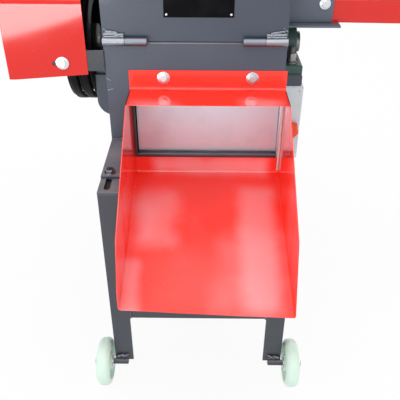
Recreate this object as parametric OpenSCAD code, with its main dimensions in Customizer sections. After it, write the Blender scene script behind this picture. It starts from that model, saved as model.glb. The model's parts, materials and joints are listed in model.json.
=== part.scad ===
// Motor-driven chaff cutter: a knife disc in a sheet-steel housing on an angle-iron frame.
// Working axes: X runs along the rotor shaft towards the feed tray, Y runs back from the front legs,
// Z is up from the floor. at_origin() then moves everything to the middle of the footprint.

/* [Frame] */
// Width of the frame across the legs
frame_w = 352; // [330:2:400]
// Depth of the frame from front legs to rear legs
frame_d = 700; // [680:5:800]
// Height of the upper left rail above the floor
left_rail_z = 473; // [465:1:485]
// Height of the lower rails above the floor
base_rail_z = 310; // [280:1:320]
// Leg width of the angle iron
angle_w = 38; // [34:1:42]
// Thickness of the angle iron
angle_t = 4; // [3:0.5:5]
// Height of the lower edge of the crossbars
crossbar_z = 168; // [120:1:200]
// Width of the adjusting slots in the rails
slot_w = 11; // [10.5:0.5:14]
// Length of the adjusting slots in the rails
slot_len = 70; // [50:1:90]
// Height of the side leg of the upper left rail
rail_side_h = 60; // [50:1:70]
// Depth of the upper left rail
upper_rail_len = 490; // [480:1:495]
// Thickness of the rear foot plates
foot_pad_t = 5; // [4:0.5:8]
// Side of the square rear foot plates
foot_pad_w = 56; // [50:1:70]

/* [Wheels] */
// Diameter of the wheels
wheel_d = 100; // [90:1:120]
// Width of the wheels
wheel_w = 28; // [22:1:36]
// Diameter of the stub axles
axle_d = 12; // [10:0.5:14]
// Gap between a leg and its wheel
wheel_gap = 6; // [5:0.5:10]

/* [Housing] */
// Distance of the housing front behind the front legs
front_y = 191; // [185:1:200]
// Distance of the right housing wall inside the frame
house_inset = 16; // [10:1:20]
// Thickness of the housing sheet
sheet_t = 3; // [2:0.5:4]
// Thickness of the housing feet
foot_t = 5; // [4:0.5:8]
// Height of the seam between housing and cover
seam_z = 676; // [670:1:684]
// Height of the rotor axis above the floor
axis_z = 620; // [615:1:628]
// Inner radius of the rotor chamber
chamber_r = 180; // [176:1:184]
// Length of the left foot in front of the housing
foot_front = 144; // [120:1:150]
// Depth of the right foot
right_foot_len = 286; // [260:1:300]

/* [Cover] */
// Thickness of the cover sheet
cover_t = 2.5; // [1.5:0.5:4]
// Height of the upper front edge of the cover
cover_front_z = 788; // [784:1:798]
// Diameter of the hinge barrels
hinge_d = 15.2; // [13:0.2:15.4]
// Length of each hinge
hinge_len = 80; // [60:1:90]
// Diameter of the hinge pins
hinge_pin_d = 8; // [6:0.5:9]
// Distance of the hinge axis in front of the housing
hinge_out = 8; // [8:0.1:10]
// Width of the nameplate
plate_w = 125; // [100:1:140]
// Height of the nameplate
plate_h = 62; // [50:1:64]
// Depth of the rear flanges that the knob clamps
clamp_flange = 40; // [36:1:50]
// Diameter of the cover knob
knob_d = 46; // [36:1:50]

/* [Discharge] */
// Height of the chute floor at the housing
floor_z = 405; // [400:1:415]
// Height of the riser at the back of the chute floor
riser_h = 31; // [25:1:35]
// Height of the lower edge of the discharge opening
open_z = 446; // [444:1:452]
// Height of the chute roof and of the opening's upper edge
roof_z = 586; // [580:1:592]
// Length of the chute roof
roof_len = 74; // [60:1:90]
// Height of the bolted chute flange
flange_h = 37.5; // [32:0.5:42]
// Length of the chute floor in plan
chute_len = 332; // [300:1:360]
// Fall of the chute floor
chute_fall = 81; // [60:1:90]
// Distance of the chute wall corner in front of the housing
wall_corner_y = 291; // [270:1:300]
// Height of the chute wall corner
wall_corner_z = 445; // [430:1:460]
// Thickness of the chute sheet
chute_t = 1.5; // [1:0.25:2.5]
// Distance between the two chute bolts
chute_bolt_pitch = 167; // [140:1:180]
// Thickness of the flap sheet
flap_t = 2; // [1:0.5:3]
// Diameter of the flap rod
flap_rod_d = 8; // [6:0.5:9]

/* [Rotor] */
// Diameter of the rotor shaft
shaft_d = 30; // [25:1:34]
// Radius of the knife disc
disc_r = 160; // [150:1:166]
// Thickness of the knife disc
disc_t = 10; // [8:0.5:14]
// Thickness of the knives
knife_t = 8; // [6:0.5:10]
// Width of the knives
knife_w = 52; // [40:1:60]
// Running gap between knives and counter-knife
knife_gap = 1; // [0.5:0.1:2]
// Thickness of the counter-knife
counter_t = 8; // [6:0.5:10]
// Number of throwing paddles
paddles = 4; // [3:1:6]
// Thickness of the paddles
paddle_t = 6; // [4:0.5:8]
// Radius of the paddle tips
paddle_r = 166; // [150:1:168]

/* [Bearings] */
// Height of the shaft above the base of a bearing block
block_h = 43; // [40:0.5:48]
// Length of a bearing block
block_len = 165; // [155:1:172]
// Width of the left bearing block
block_w = 34; // [30:1:36]
// Width of the right bearing block
right_block_w = 44; // [40:1:46]
// Width of the left bearing bracket
bracket_w = 40; // [38:1:44]
// Width of the right bearing bracket
right_bracket_w = 50; // [48:1:54]
// Thickness of the bracket plates
bracket_t = 8; // [6:0.5:10]
// Depth of the left bracket's gussets below its plate
gusset_h = 82; // [70:1:90]
// Depth of the right bracket's lips below its plate
lip_h = 13; // [10:1:16]

/* [Belt drive] */
// Outer diameter of the rotor pulley
pulley_d = 232; // [210:1:250]
// Outer diameter of the motor pulley
motor_pulley_d = 84; // [76:1:100]
// Distance between the belt grooves
groove_pitch = 24; // [22:0.5:28]
// Land between and beside the grooves
land_w = 3; // [2.5:0.5:5]
// Depth of the belt grooves
groove_depth = 15; // [14:0.5:18]
// Width of the belt guard
guard_w = 149.5; // [140:0.5:165]
// Gap between the guard and the side of the frame
guard_gap = 31.5; // [25:0.5:40]
// Height of the guard's lower front edge
guard_z = 605; // [600:1:612]
// How far the lower front edge of the guard rises towards the frame
guard_rise = 11; // [0:1:14]
// Gap between the rotor pulley and the guard top
guard_top_gap = 40; // [30:1:50]
// Gap between the motor pulley and the rear of the guard
guard_rear_gap = 59.5; // [50:0.5:65]
// Height of the upright rear face of the guard
guard_heel = 88; // [80:1:100]
// Height of the guard's lower rear edge
guard_rear_z = 450; // [440:1:460]
// Thickness of the guard sheet
guard_t = 1.5; // [1:0.25:2.5]
// Height of the flat-bar bracket
bar_h = 38; // [30:1:45]
// Thickness of the flat bar
bar_t = 6; // [4:0.5:8]

/* [Motor] */
// Height of the motor shaft above its base
motor_h = 90; // [84:1:100]
// Diameter of the motor body
motor_d = 150; // [130:1:154]
// Length of the motor body
motor_len = 210; // [180:1:240]
// Diameter of the motor shaft
motor_shaft_d = 24; // [19:1:28]
// Height of the angle rails that the motor plate stands on
motor_rise = 44; // [40:1:50]
// Gap between the post and the motor
motor_gap = 20; // [15:1:30]
// Thickness of the motor plate
motor_plate_t = 6; // [5:0.5:10]
// Number of cooling fins
fins = 28; // [20:1:36]

/* [Feed] */
// Height of the feed floor
feed_z = 690; // [688:1:695]
// Width of the feed mouth
mouth_w = 180; // [150:1:184]
// Height of the feed mouth
mouth_h = 70; // [55:1:74]
// Length of the feed box
box_len = 92; // [80:1:110]
// Inner height of the feed box
box_h = 85; // [78:1:95]
// Length of the tray beyond the feed box
tray_len = 438; // [380:1:520]
// Height of the tray walls
tray_h = 42; // [35:1:60]
// How far each tray wall flares outwards
tray_flare = 18; // [0:1:40]

/* [Switch] */
// Depth of the switch box out from the wall
switch_w = 55.5; // [50:0.5:60]
// Height of the switch box
switch_h = 168; // [150:1:175]
// Length of the switch box along the wall
switch_len = 62; // [50:1:64]
// Gap between the right bearing bracket and the switch box
switch_gap = 1; // [1:0.5:4]
// Length of the turn knob
turn_knob_len = 34; // [26:1:38]

/* [Hidden] */
$fn = 72;
slack = 0.3;
run_fit = 0.05;
slide_fit = 0.05;
weld_r = 2.5;
wide_washer_d = 24;
washer_t = 2;
bolt_d = 8;
bolt_hole_d = 9;
stud_d = 12;
stud_hole_d = 13;

// Main planes of the frame and the housing
left_x = -frame_w / 2;
right_x = frame_w / 2;
house_x1 = right_x - house_inset;
house_w = house_x1 - left_x;
left_in_x = left_x + sheet_t;
right_in_x = house_x1 - sheet_t;
low_left_x = left_x + angle_w + 2;
low_left_in_x = low_left_x + sheet_t;
wall_y = front_y + sheet_t;
axis_y = wall_y + sheet_t + chamber_r;
foot_top = left_rail_z + foot_t;
shell_r = chamber_r + sheet_t;
foot_bolt_x = left_x + angle_w / 2 - 3.5;
foot_bolt_y = front_y - foot_front + 14;
slot_y = foot_bolt_y - slot_len + 19;
foot_rear = 12;
post_clear = 14;
rear_bolt_reach = 70;
rear_bolt_y = min(upper_rail_len - angle_w - post_clear, axis_y + rear_bolt_reach);

// Cover
cover_z = seam_z + 1.5;
cover_gap = 1;
fold_sink = 0.5;
cover_in_r = shell_r + cover_gap;
cover_out_r = cover_in_r + cover_t;
cover_x1 = house_x1 - 1;
hinge_y = front_y - hinge_out;
hinge_z = seam_z + 3.5;
front_corner = [front_y, cover_front_z];
corner_reach = norm(front_corner - [axis_y, axis_z]);
corner_angle = atan2(cover_front_z - axis_z, front_y - axis_y);
roof_angle = corner_angle - acos(cover_out_r / corner_reach);
knob_x = (left_x + house_x1) / 2;
clamp_y1 = axis_y + shell_r - 8 + clamp_flange;
knob_y = clamp_y1 - knob_d / 2 + 8;
clamp_y0 = axis_y + sqrt(pow(cover_in_r, 2) - pow(cover_z - axis_z, 2)) + 0.5;
plate_z = cover_front_z - 5 - plate_h;

// Discharge
chute_x0 = left_x + angle_w + 5.3;
chute_x1 = house_x1 + 2.8 + chute_t;
chute_mid_x = (chute_x0 + chute_x1) / 2;
open_x0 = chute_x0 + 6.7;
lip_y = front_y - chute_len;
lip_z = floor_z - chute_fall;
chute_bolt_z = roof_z + flange_h - 14;
flap_eye_d = flap_rod_d + 5;
flap_y = wall_y + 2.5 + flap_eye_d / 2;
flap_z = roof_z - 2.5 - flap_eye_d / 2;
flap_gap = 1.5;
flap_x0 = open_x0 + flap_gap;
flap_x1 = right_in_x - flap_gap;

// Rotor
knife_x1 = right_in_x - counter_t - knife_gap;
knife_x0 = knife_x1 - knife_t;
seat_t = 10;
counter_h = 20;
mouth_rise = 2;
disc_x1 = knife_x0 - seat_t;
disc_x0 = disc_x1 - disc_t;
knife_r0 = 62;
hub_r = shaft_d / 2 + 11;
paddle_x0 = low_left_in_x + 15;
ring_d = shaft_d + 12;
shaft_hole_d = ring_d + 2;

// Bearings and belt drive
bracket_top = axis_z - block_h;
block_base_t = 18;
block_shoulder = 3;
block_neck_w = 24;
stud_out = 34;
stud_washer_t = 2.5;
spring_washer_t = 4.5;
stud_nut_h = 11;
stud_end = 1.5;
block_bolt_y = block_len / 2 - 22;
left_block_x = left_x - bracket_w / 2;
right_block_x = house_x1 + right_bracket_w - right_block_w / 2;
gusset_r = 34;
lip_r = 3;
pulley_w = 2 * groove_pitch + land_w;
pulley_x = left_x - bracket_w - 2.5 - pulley_w / 2;
groove_w = groove_pitch - land_w;
belt_proud = 5.5;
belt_lap = 4.5;
belt_lead = 3;
belt_side_gap = 1.6;
shield_d = motor_d + 6;
fan_cover_d = shield_d + 4;
motor_y = upper_rail_len + motor_gap + fan_cover_d / 2;
motor_plate_z = base_rail_z + motor_rise;
motor_base_z = motor_plate_z + motor_plate_t;
motor_z = motor_base_z + motor_h;
guard_x1 = left_x - guard_gap;
guard_x0 = guard_x1 - guard_w;
guard_y0 = front_y - 5;
guard_top = axis_z + pulley_d / 2 + guard_top_gap;
guard_y1 = motor_y + motor_pulley_d / 2 + guard_rear_gap;
guard_corner_r = 34;
guard_fold_out = 73;
guard_fold_y = axis_y + guard_fold_out;
guard_drop = 60;
guard_heel_z = guard_rear_z + guard_heel;
guard_bolt_x = guard_x1 - 45.5;
bar_z = guard_z + guard_rise + 6;
guard_bolt_z = bar_z + bar_h / 2 - 3;
rear_bar_y1 = guard_y1 - guard_t;
rear_bar_z1 = guard_rear_z + 50;
rear_bar_h = 30;
bar_end = 30;
rear_bolt_x = guard_x1 - 27;

// Motor
shield_t = 20;
motor_x0 = pulley_x + pulley_w / 2 + 24.5 + shield_t;
motor_x1 = motor_x0 + motor_len;
fan_gap = 54;
motor_plate_front = 85;
motor_plate_y0 = motor_y - motor_plate_front;
motor_plate_y1 = guard_y1 + 2;
motor_bolt_inset = 45;
rail_t = 5;
rail_foot = 34;
terminal_x = 20;
terminal_len = 120;
terminal_w = 88;
terminal_h = 46;
terminal_rim = 12;
terminal_tilt = 30;
fan_inset = 8;
fan_len = 28;
fan_hub_wall = 8;
fan_tip_gap = 6;
motor_base_t = 10;
fin_h = 9;
motor_wall = 28;
terminal_seat = motor_d / 2 + fin_h + 1;

// Feed
box_side = 14;
box_y0 = axis_y - mouth_w / 2 - box_side - sheet_t;
box_y1 = axis_y + mouth_w / 2 + box_side + sheet_t;
box_x1 = house_x1 + box_len;
floor_t = 4;
floor_out = 20;
tray_t = 1.5;
tray_x0 = box_x1 - 37;
tray_x1 = box_x1 + tray_len;
tray_y0 = box_y0 + sheet_t + slack;
tray_y1 = box_y1 - sheet_t - slack;
feed_bolt_x = box_x1 - 17;
feed_bolt_z = feed_z + 36;

// Switch
switch_out = 2;
switch_top = bracket_top - bracket_t - lip_h - switch_gap;
switch_y0 = axis_y - block_len / 2 - bracket_t - switch_out;
switch_y1 = switch_y0 + switch_len;
switch_cover_t = 3;
turn_side = 12.5;
turn_drop = 5;
turn_x = house_x1 + switch_w / 2 + turn_side;
turn_z = switch_top - switch_h / 2 - turn_drop;

// Middle of the footprint
mid_x = (guard_x0 + tray_x1) / 2;
mid_y = (lip_y + frame_d) / 2;

slate = [0.36, 0.38, 0.42];
red = [0.87, 0.14, 0.11];
zinc = [0.78, 0.79, 0.80];
steel = [0.62, 0.63, 0.65];
black = [0.09, 0.09, 0.09];
bearing_green = [0.20, 0.33, 0.30];
wheel_green = [0.78, 0.91, 0.83];
pale_grey = [0.78, 0.80, 0.83];
motor_grey = [0.30, 0.34, 0.38];

// Shared shapes

module at_origin() translate([-mid_x, -mid_y, 0]) children();

module block(x, y, z) translate([x[0], y[0], z[0]]) cube([x[1] - x[0], y[1] - y[0], z[1] - z[0]]);

// An outline in Y and Z, drawn out along X
module across(x0, x1) translate([x0, 0, 0]) rotate([90, 0, 90]) linear_extrude(x1 - x0) children();

// An outline in X and Z, drawn out along Y
module along(y0, y1) translate([0, y1, 0]) rotate([90, 0, 0]) linear_extrude(y1 - y0) children();

module rod_x(x0, x1, y, z, d) translate([x0, y, z]) rotate([0, 90, 0]) cylinder(h = x1 - x0, d = d);

module rod_y(y0, y1, x, z, d) translate([x, y0, z]) rotate([-90, 0, 0]) cylinder(h = y1 - y0, d = d);

module rod_z(z0, z1, x, y, d) translate([x, y, z0]) cylinder(h = z1 - z0, d = d);

// A turned shape about a line along X through (y, z)
module turned(x, y, z) translate([x, y, z]) rotate([0, 90, 0]) rotate_extrude() children();

// Upright angle iron with its outer corner at (x, y); sx and sy point into the frame
module upright(x, y, sx, sy, z0, z1) {
    translate([x, y, z0]) mirror([sx < 0 ? 1 : 0, 0, 0]) mirror([0, sy < 0 ? 1 : 0, 0]) {
        cube([angle_w, angle_t, z1 - z0]);
        cube([angle_t, angle_w, z1 - z0]);
    }
}

// Bolt with washer, head above z = 0, nut below the grip
module bolt(d, grip, washer_d) {
    head = 1.62 * d;
    cylinder(h = washer_t, d = washer_d);
    translate([0, 0, washer_t]) cylinder(h = 0.62 * d, d = head / cos(30), $fn = 6);
    translate([0, 0, -grip - 0.9 * d]) cylinder(h = grip + 0.9 * d + washer_t, d = d);
    translate([0, 0, -grip - 0.7 * d]) cylinder(h = 0.7 * d, d = head / cos(30), $fn = 6);
}

// Height of the sloping cover roof at depth y, for a shell of radius r
function roof_line(r, y) = axis_z + (r - (y - axis_y) * cos(roof_angle)) / sin(roof_angle);

// Part of a disc of radius r that is left when the sector from angle a0 up to a1 is cut away
module disc_without(r, a0, a1) difference() {
    reach = 4 * r;
    mid = (a0 + a1) / 2;
    circle(r);
    polygon([[0, 0], for (a = [a0, (a0 + mid) / 2, mid, (mid + a1) / 2, a1]) reach * [cos(a), sin(a)]]);
}

// Round shell with a flat front at depth f and a sloping roof; its bottom runs out flat to the front.
// The flats meet the round at a slight angle, as the folds of a real sheet do.
module shell_outline(r, f) {
    flat_r = r - fold_sink;
    translate([axis_y, axis_z]) circle(r);
    polygon([[f, axis_z - flat_r], [f, roof_line(flat_r, f)],
        [axis_y + flat_r * cos(roof_angle), axis_z + flat_r * sin(roof_angle)], [axis_y, axis_z - flat_r]]);
}

module above(z) translate([0, z]) square([2 * frame_d, 2 * frame_d]);

module below(z) translate([0, z - 2 * frame_d]) square([2 * frame_d, 2 * frame_d]);

// Frame

module leg_front_left() color(slate) at_origin()
    upright(left_x, 0, 1, 1, wheel_d / 2 - 2, left_rail_z - angle_t);

module leg_front_right() color(slate) at_origin()
    upright(right_x, 0, -1, 1, wheel_d / 2 - 2, base_rail_z - angle_t);

module leg_rear_left() color(slate) at_origin()
    upright(left_x, frame_d, 1, -1, foot_pad_t, base_rail_z - angle_t);

module leg_rear_right() color(slate) at_origin()
    upright(right_x, frame_d, -1, -1, foot_pad_t, base_rail_z - angle_t);

module post_left() color(slate) at_origin()
    upright(left_x, upper_rail_len, 1, -1, base_rail_z, left_rail_z - angle_t);

module rail_slot(x, y) {
    low = -frame_w;
    translate([x - slot_w / 2, y + slot_w / 2, low]) cube([slot_w, slot_len - slot_w, 4 * frame_w]);
    for (end = [slot_w / 2, slot_len - slot_w / 2])
        translate([x, y + end, low]) cylinder(h = 4 * frame_w, d = slot_w);
}

module rail_upper_left() color(slate) at_origin() difference() {
    z = left_rail_z;
    union() {
        block([left_x, left_x + angle_w], [angle_t, upper_rail_len], [z - angle_t, z]);
        intersection() {
            rod_x(left_x, left_x + angle_w, angle_t, z - angle_t, 2 * angle_t);
            block([left_x, left_x + angle_w], [0, angle_t + 1], [z - angle_t, z]);
        }
        block([left_x, left_x + angle_t], [angle_w, upper_rail_len - angle_w], [z - rail_side_h, z]);
    }
    rail_slot(foot_bolt_x, slot_y);
    rail_slot(foot_bolt_x, rear_bolt_y - slot_len / 2);
}

module rail_lower_left() color(slate) at_origin() {
    z = base_rail_z;
    block([left_x, left_x + angle_w], [angle_w, frame_d], [z - angle_t, z]);
    block([left_x, left_x + angle_t], [angle_w, frame_d - angle_w], [z - angle_w, z]);
}

module rail_right() color(slate) at_origin() difference() {
    z = base_rail_z;
    union() {
        block([right_x - angle_w, right_x], [0, frame_d], [z - angle_t, z]);
        block([right_x - angle_t, right_x], [angle_w, frame_d - angle_w], [z - angle_w, z]);
    }
    for (y = right_bolt_ys) rail_slot(right_bolt_x, y - slot_len / 2);
}

module crossbars() color(slate) at_origin() {
    x = [left_x + angle_t, right_x - angle_t];
    z = crossbar_z;
    block(x, [angle_t, 2 * angle_t], [z, z + angle_w]);
    block(x, [angle_t, angle_t + angle_w], [z + angle_w - angle_t, z + angle_w]);
    block(x, [frame_d - 2 * angle_t, frame_d - angle_t], [z, z + angle_w]);
    block(x, [frame_d - angle_t - angle_w, frame_d - angle_t], [z + angle_w - angle_t, z + angle_w]);
}

module rear_feet() color(slate) at_origin() {
    y = [frame_d - foot_pad_w, frame_d];
    block([left_x, left_x + foot_pad_w], y, [0, foot_pad_t]);
    block([right_x - foot_pad_w, right_x], y, [0, foot_pad_t]);
}

// Wheels

axle_y = -axle_d / 2;
stub_inset = 10;
axle_end = right_x + wheel_gap + wheel_w + 8;
wheel_mid = right_x + wheel_gap + wheel_w / 2;

module both_sides() {
    children();
    mirror([1, 0, 0]) children();
}

module wheel_axles() color(steel) at_origin() both_sides()
    rod_x(right_x - angle_w + stub_inset, axle_end, axle_y, wheel_d / 2, axle_d);

module axle_washers() color(zinc) at_origin() both_sides() {
    for (x = [[right_x + wheel_gap - 2.5, right_x + wheel_gap - slack],
            [right_x + wheel_gap + wheel_w + slack, axle_end - 2]])
        difference() {
            rod_x(x[0], x[1], axle_y, wheel_d / 2, 2 * axle_d);
            rod_x(x[0] - 1, x[1] + 1, axle_y, wheel_d / 2, axle_d + 2 * slide_fit);
        }
}

module wheel(x) {
    r = wheel_d / 2;
    half = wheel_w / 2;
    round_r = 11;
    rim_in = 0.76 * r;
    hub = 0.34 * r;
    arc = [for (a = [0:15:90]) [r - round_r + round_r * sin(a), half - round_r + round_r * cos(a)]];
    arc_low = [for (a = [90:15:180]) [r - round_r + round_r * sin(a), -half + round_r + round_r * cos(a)]];
    bore = axle_d / 2 + 2 * run_fit;
    turned(x, axle_y, r)
        polygon(concat([[bore, -half], [bore, half], [hub, half], [hub + 2, 6], [rim_in - 2, 6],
            [rim_in, half]], arc, arc_low, [[rim_in, -half], [rim_in - 2, -6], [hub + 2, -6], [hub, -half]]));
}

module wheel_left() color(wheel_green) at_origin() wheel(-wheel_mid);

module wheel_right() color(wheel_green) at_origin() wheel(wheel_mid);

// Housing

right_bolt_ys = [wall_y + 36, wall_y + right_foot_len - 40];
right_bolt_x = (right_x - angle_w + right_in_x) / 2;

module housing_front() color(slate) at_origin() difference() {
    along(front_y, wall_y) difference() {
        union() {
            translate([left_x, foot_top]) square([house_w, seam_z - foot_top]);
            translate([low_left_in_x, left_rail_z]) square([house_x1 - low_left_in_x, foot_t]);
            translate([low_left_x, floor_z - 5]) square([house_x1 - low_left_x, left_rail_z - floor_z + 5]);
        }
        translate([open_x0, open_z]) square([right_in_x - open_x0, roof_z - open_z]);
    }
    for (s = [-1, 1])
        rod_y(front_y - 1, wall_y + 1, chute_mid_x + s * chute_bolt_pitch / 2, chute_bolt_z, bolt_hole_d);
}

module housing_left() color(slate) at_origin() difference() {
    union() {
        across(left_x, left_in_x) intersection() {
            shell_outline(shell_r, wall_y);
            above(left_rail_z);
        }
        block([left_x, low_left_in_x], [front_y - foot_front, upper_rail_len - foot_rear], [left_rail_z, foot_top]);
        across(low_left_x, low_left_in_x) intersection() {
            shell_outline(shell_r, wall_y);
            below(foot_top);
        }
    }
    rod_x(left_x - 1, left_in_x + 1, axis_y, axis_z, shaft_hole_d);
    for (y = [foot_bolt_y, rear_bolt_y]) rod_z(left_rail_z - 1, foot_top + 1, foot_bolt_x, y, bolt_hole_d);
}

module housing_right() color(slate) at_origin() difference() {
    union() {
        across(right_in_x, house_x1) {
            shell_outline(shell_r, wall_y);
            translate([wall_y, base_rail_z]) square([right_foot_len, axis_z - shell_r / 2 - base_rail_z]);
        }
        block([right_x - angle_w, house_x1], [wall_y, wall_y + right_foot_len], [base_rail_z, base_rail_z + foot_t]);
    }
    rod_x(right_in_x - 1, house_x1 + 1, axis_y, axis_z, shaft_hole_d);
    block([right_in_x - 1, house_x1 + 1], [axis_y - mouth_w / 2, axis_y + mouth_w / 2],
        [feed_z + mouth_rise, feed_z + mouth_rise + mouth_h]);
    for (y = right_bolt_ys) rod_z(base_rail_z - 1, base_rail_z + foot_t + 1, right_bolt_x, y, bolt_hole_d);
}

// Rear half of a ring up to the seam, with a flat floor running out to the front
module scroll_outline() {
    intersection() {
        translate([axis_y, axis_z]) difference() {
            circle(shell_r);
            circle(chamber_r);
        }
        translate([axis_y, 0]) square([2 * shell_r, seam_z]);
    }
    translate([wall_y, axis_z - shell_r]) square([axis_y - wall_y, sheet_t]);
}

module housing_scroll() color(slate) at_origin() difference() {
    union() {
        across(low_left_in_x, right_in_x) scroll_outline();
        across(left_in_x, low_left_in_x) intersection() {
            scroll_outline();
            above(foot_top);
        }
        block([left_in_x, right_in_x], [axis_y + shell_r - 14, clamp_y1], [seam_z - sheet_t, seam_z]);
    }
    across(left_x, house_x1) translate([axis_y, axis_z]) circle(chamber_r);
    rod_z(seam_z - sheet_t - 1, seam_z + 1, knob_x, knob_y, bolt_d + 4);
}

module foot_bolts() color(zinc) at_origin() {
    for (y = [foot_bolt_y, rear_bolt_y])
        translate([foot_bolt_x, y, foot_top]) bolt(bolt_d, foot_t + angle_t, slot_w + 8);
    for (y = right_bolt_ys)
        translate([right_bolt_x, y, base_rail_z + foot_t]) bolt(bolt_d, foot_t + angle_t, slot_w + 4);
}

// Cover and hinges

module upper_cover() color(slate) at_origin() difference() {
    union() {
        across(left_x, cover_x1) intersection() {
            difference() {
                shell_outline(cover_out_r, front_y);
                shell_outline(cover_in_r, front_y + cover_t);
            }
            above(cover_z);
        }
        block([left_x, cover_x1], [clamp_y0, clamp_y1], [cover_z, cover_z + cover_t]);
    }
    rod_z(cover_z - 1, cover_z + cover_t + 1, knob_x, knob_y, bolt_d + 2 * slack);
}

module nameplate() color(black) at_origin()
    block([knob_x + 6.5 - plate_w / 2, knob_x + 6.5 + plate_w / 2], [front_y - 1, front_y],
        [plate_z, plate_z + plate_h]);

hinge_half = hinge_len / 2;
hinge_left_x = left_x + 1 + hinge_half;
hinge_right_x = house_x1 - 1 - hinge_half;

module knuckle(x0, x1, bead_z) difference() {
    union() {
        rod_x(x0, x1, hinge_y, hinge_z, hinge_d);
        rod_x(x0 + 2, x1 - 2, front_y - weld_r, bead_z, 2 * weld_r);
    }
    rod_x(x0 - 1, x1 + 1, hinge_y, hinge_z, hinge_pin_d + 2 * run_fit);
}

module hinge_knuckles_fixed() color(slate) at_origin() {
    bead = hinge_z - hinge_d / 2 + 0.5;
    knuckle(hinge_left_x + slack, hinge_left_x + hinge_half, bead);
    knuckle(hinge_right_x - hinge_half, hinge_right_x - slack, bead);
}

module hinge_knuckles_moving() color(zinc) at_origin() {
    bead = hinge_z + hinge_d / 2 - 0.5;
    knuckle(hinge_left_x - hinge_half, hinge_left_x - slack, bead);
    knuckle(hinge_right_x + slack, hinge_right_x + hinge_half, bead);
}

module hinge_pins() color(steel) at_origin()
    for (x = [hinge_left_x, hinge_right_x])
        rod_x(x - hinge_half + 1, x + hinge_half - 1, hinge_y, hinge_z, hinge_pin_d);

module cover_knob() color(black) at_origin() translate([knob_x, knob_y, cover_z + cover_t + slack]) {
    lobes = 6;
    grip_z = 8;
    cylinder(h = grip_z, d = knob_d / 2);
    translate([0, 0, grip_z]) linear_extrude(16) {
        circle(d = 0.8 * knob_d);
        for (i = [0:lobes - 1]) rotate((i + 0.5) * 360 / lobes)
            translate([0.36 * knob_d, 0]) circle(d = 0.28 * knob_d);
    }
    translate([0, 0, -20]) cylinder(h = 21, d = bolt_d);
}

// Discharge

module chute_wall(x0) across(x0, x0 + chute_t)
    polygon([[front_y, floor_z], [front_y, roof_z], [front_y - roof_len, roof_z],
        [front_y - wall_corner_y, wall_corner_z], [lip_y, lip_z]]);

module discharge_chute() color(red) at_origin() difference() {
    x = [chute_x0, chute_x1];
    union() {
        block(x, [front_y - chute_t, front_y], [roof_z - chute_t, roof_z + flange_h]);
        block(x, [front_y - roof_len, front_y], [roof_z - chute_t, roof_z]);
        block(x, [front_y - chute_t, front_y], [floor_z - chute_t, floor_z + riser_h]);
        across(x[0], x[1]) polygon([[front_y, floor_z], [lip_y, lip_z],
            [lip_y, lip_z - chute_t], [front_y, floor_z - chute_t]]);
        chute_wall(chute_x0);
        chute_wall(chute_x1 - chute_t);
    }
    for (s = [-1, 1])
        rod_y(front_y - chute_t - 1, front_y + 1, chute_mid_x + s * chute_bolt_pitch / 2, chute_bolt_z, bolt_hole_d);
}

module discharge_flap() color(zinc) at_origin() difference() {
    union() {
        rod_x(flap_x0, flap_x1, flap_y, flap_z, flap_eye_d);
        block([flap_x0, flap_x1], [flap_y - flap_t / 2, flap_y + flap_t / 2], [open_z + flap_gap, flap_z]);
    }
    rod_x(flap_x0 - 1, flap_x1 + 1, flap_y, flap_z, flap_rod_d + 4 * run_fit);
}

module flap_rod() color(steel) at_origin() rod_x(left_in_x, right_in_x, flap_y, flap_z, flap_rod_d);

module panel_bolts() color(zinc) at_origin() {
    for (s = [-1, 1]) translate([chute_mid_x + s * chute_bolt_pitch / 2, front_y - chute_t, chute_bolt_z])
        rotate([90, 0, 0]) bolt(bolt_d, chute_t + sheet_t, wide_washer_d);
    translate([guard_bolt_x, guard_y0, guard_bolt_z])
        rotate([90, 0, 0]) bolt(bolt_d, guard_t + bar_t, wide_washer_d);
    translate([rear_bolt_x, guard_y1, rear_bar_z1 - rear_bar_h / 2])
        rotate([-90, 0, 0]) bolt(bolt_d, guard_t + bar_t, wide_washer_d);
    translate([feed_bolt_x, box_y0, feed_bolt_z])
        rotate([90, 0, 0]) bolt(bolt_d, sheet_t + slack + tray_t, wide_washer_d - 3);
    translate([feed_bolt_x, box_y1, feed_bolt_z])
        rotate([-90, 0, 0]) bolt(bolt_d, sheet_t + slack + tray_t, wide_washer_d - 3);
}

// Rotor

shaft_x0 = pulley_x - pulley_w / 2 - 5;
shaft_end_in = 2;
shaft_x1 = right_block_x + right_block_w / 2 - shaft_end_in;

module rotor_shaft() color(steel) at_origin() rod_x(shaft_x0, shaft_x1, axis_y, axis_z, shaft_d);

module shaft_bore(x0, x1) rod_x(x0, x1, axis_y, axis_z, shaft_d + 2 * slide_fit);

knife_angles = [90, 210, 330];
knife_bolt_rs = [knife_r0 + 20, disc_r - 26];

module at_knife(a) translate([0, axis_y, axis_z]) rotate([a, 0, 0]) children();

module knife_disc() color(steel) at_origin() difference() {
    union() {
        rod_x(disc_x0, disc_x1, axis_y, axis_z, 2 * disc_r);
        rod_x(disc_x1, disc_x1 + seat_t, axis_y, axis_z, 2 * hub_r);
        for (a = knife_angles) at_knife(a)
            block([disc_x1, knife_x0], [knife_r0, disc_r - 6], [-knife_w / 2 + 10, knife_w / 2]);
    }
    shaft_bore(disc_x0 - 1, disc_x1 + seat_t + 1);
    for (a = knife_angles) at_knife(a) for (r = knife_bolt_rs)
        rod_x(disc_x0 - 1, knife_x0 + 1, r, 8, bolt_d + 1);
}

module knives() color(zinc) at_origin() for (a = knife_angles) at_knife(a) difference() {
    bevel = 14;
    along(knife_r0 - 6, disc_r) polygon([[knife_x0, bevel - knife_w / 2], [knife_x1, -knife_w / 2],
        [knife_x1, knife_w / 2], [knife_x0, knife_w / 2]]);
    for (r = knife_bolt_rs) {
        rod_x(knife_x0 - 1, knife_x1 + 1, r, 8, bolt_d + 1);
        rod_x(knife_x1 - 4, knife_x1 + 1, r, 8, 2 * bolt_d);
    }
}

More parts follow.
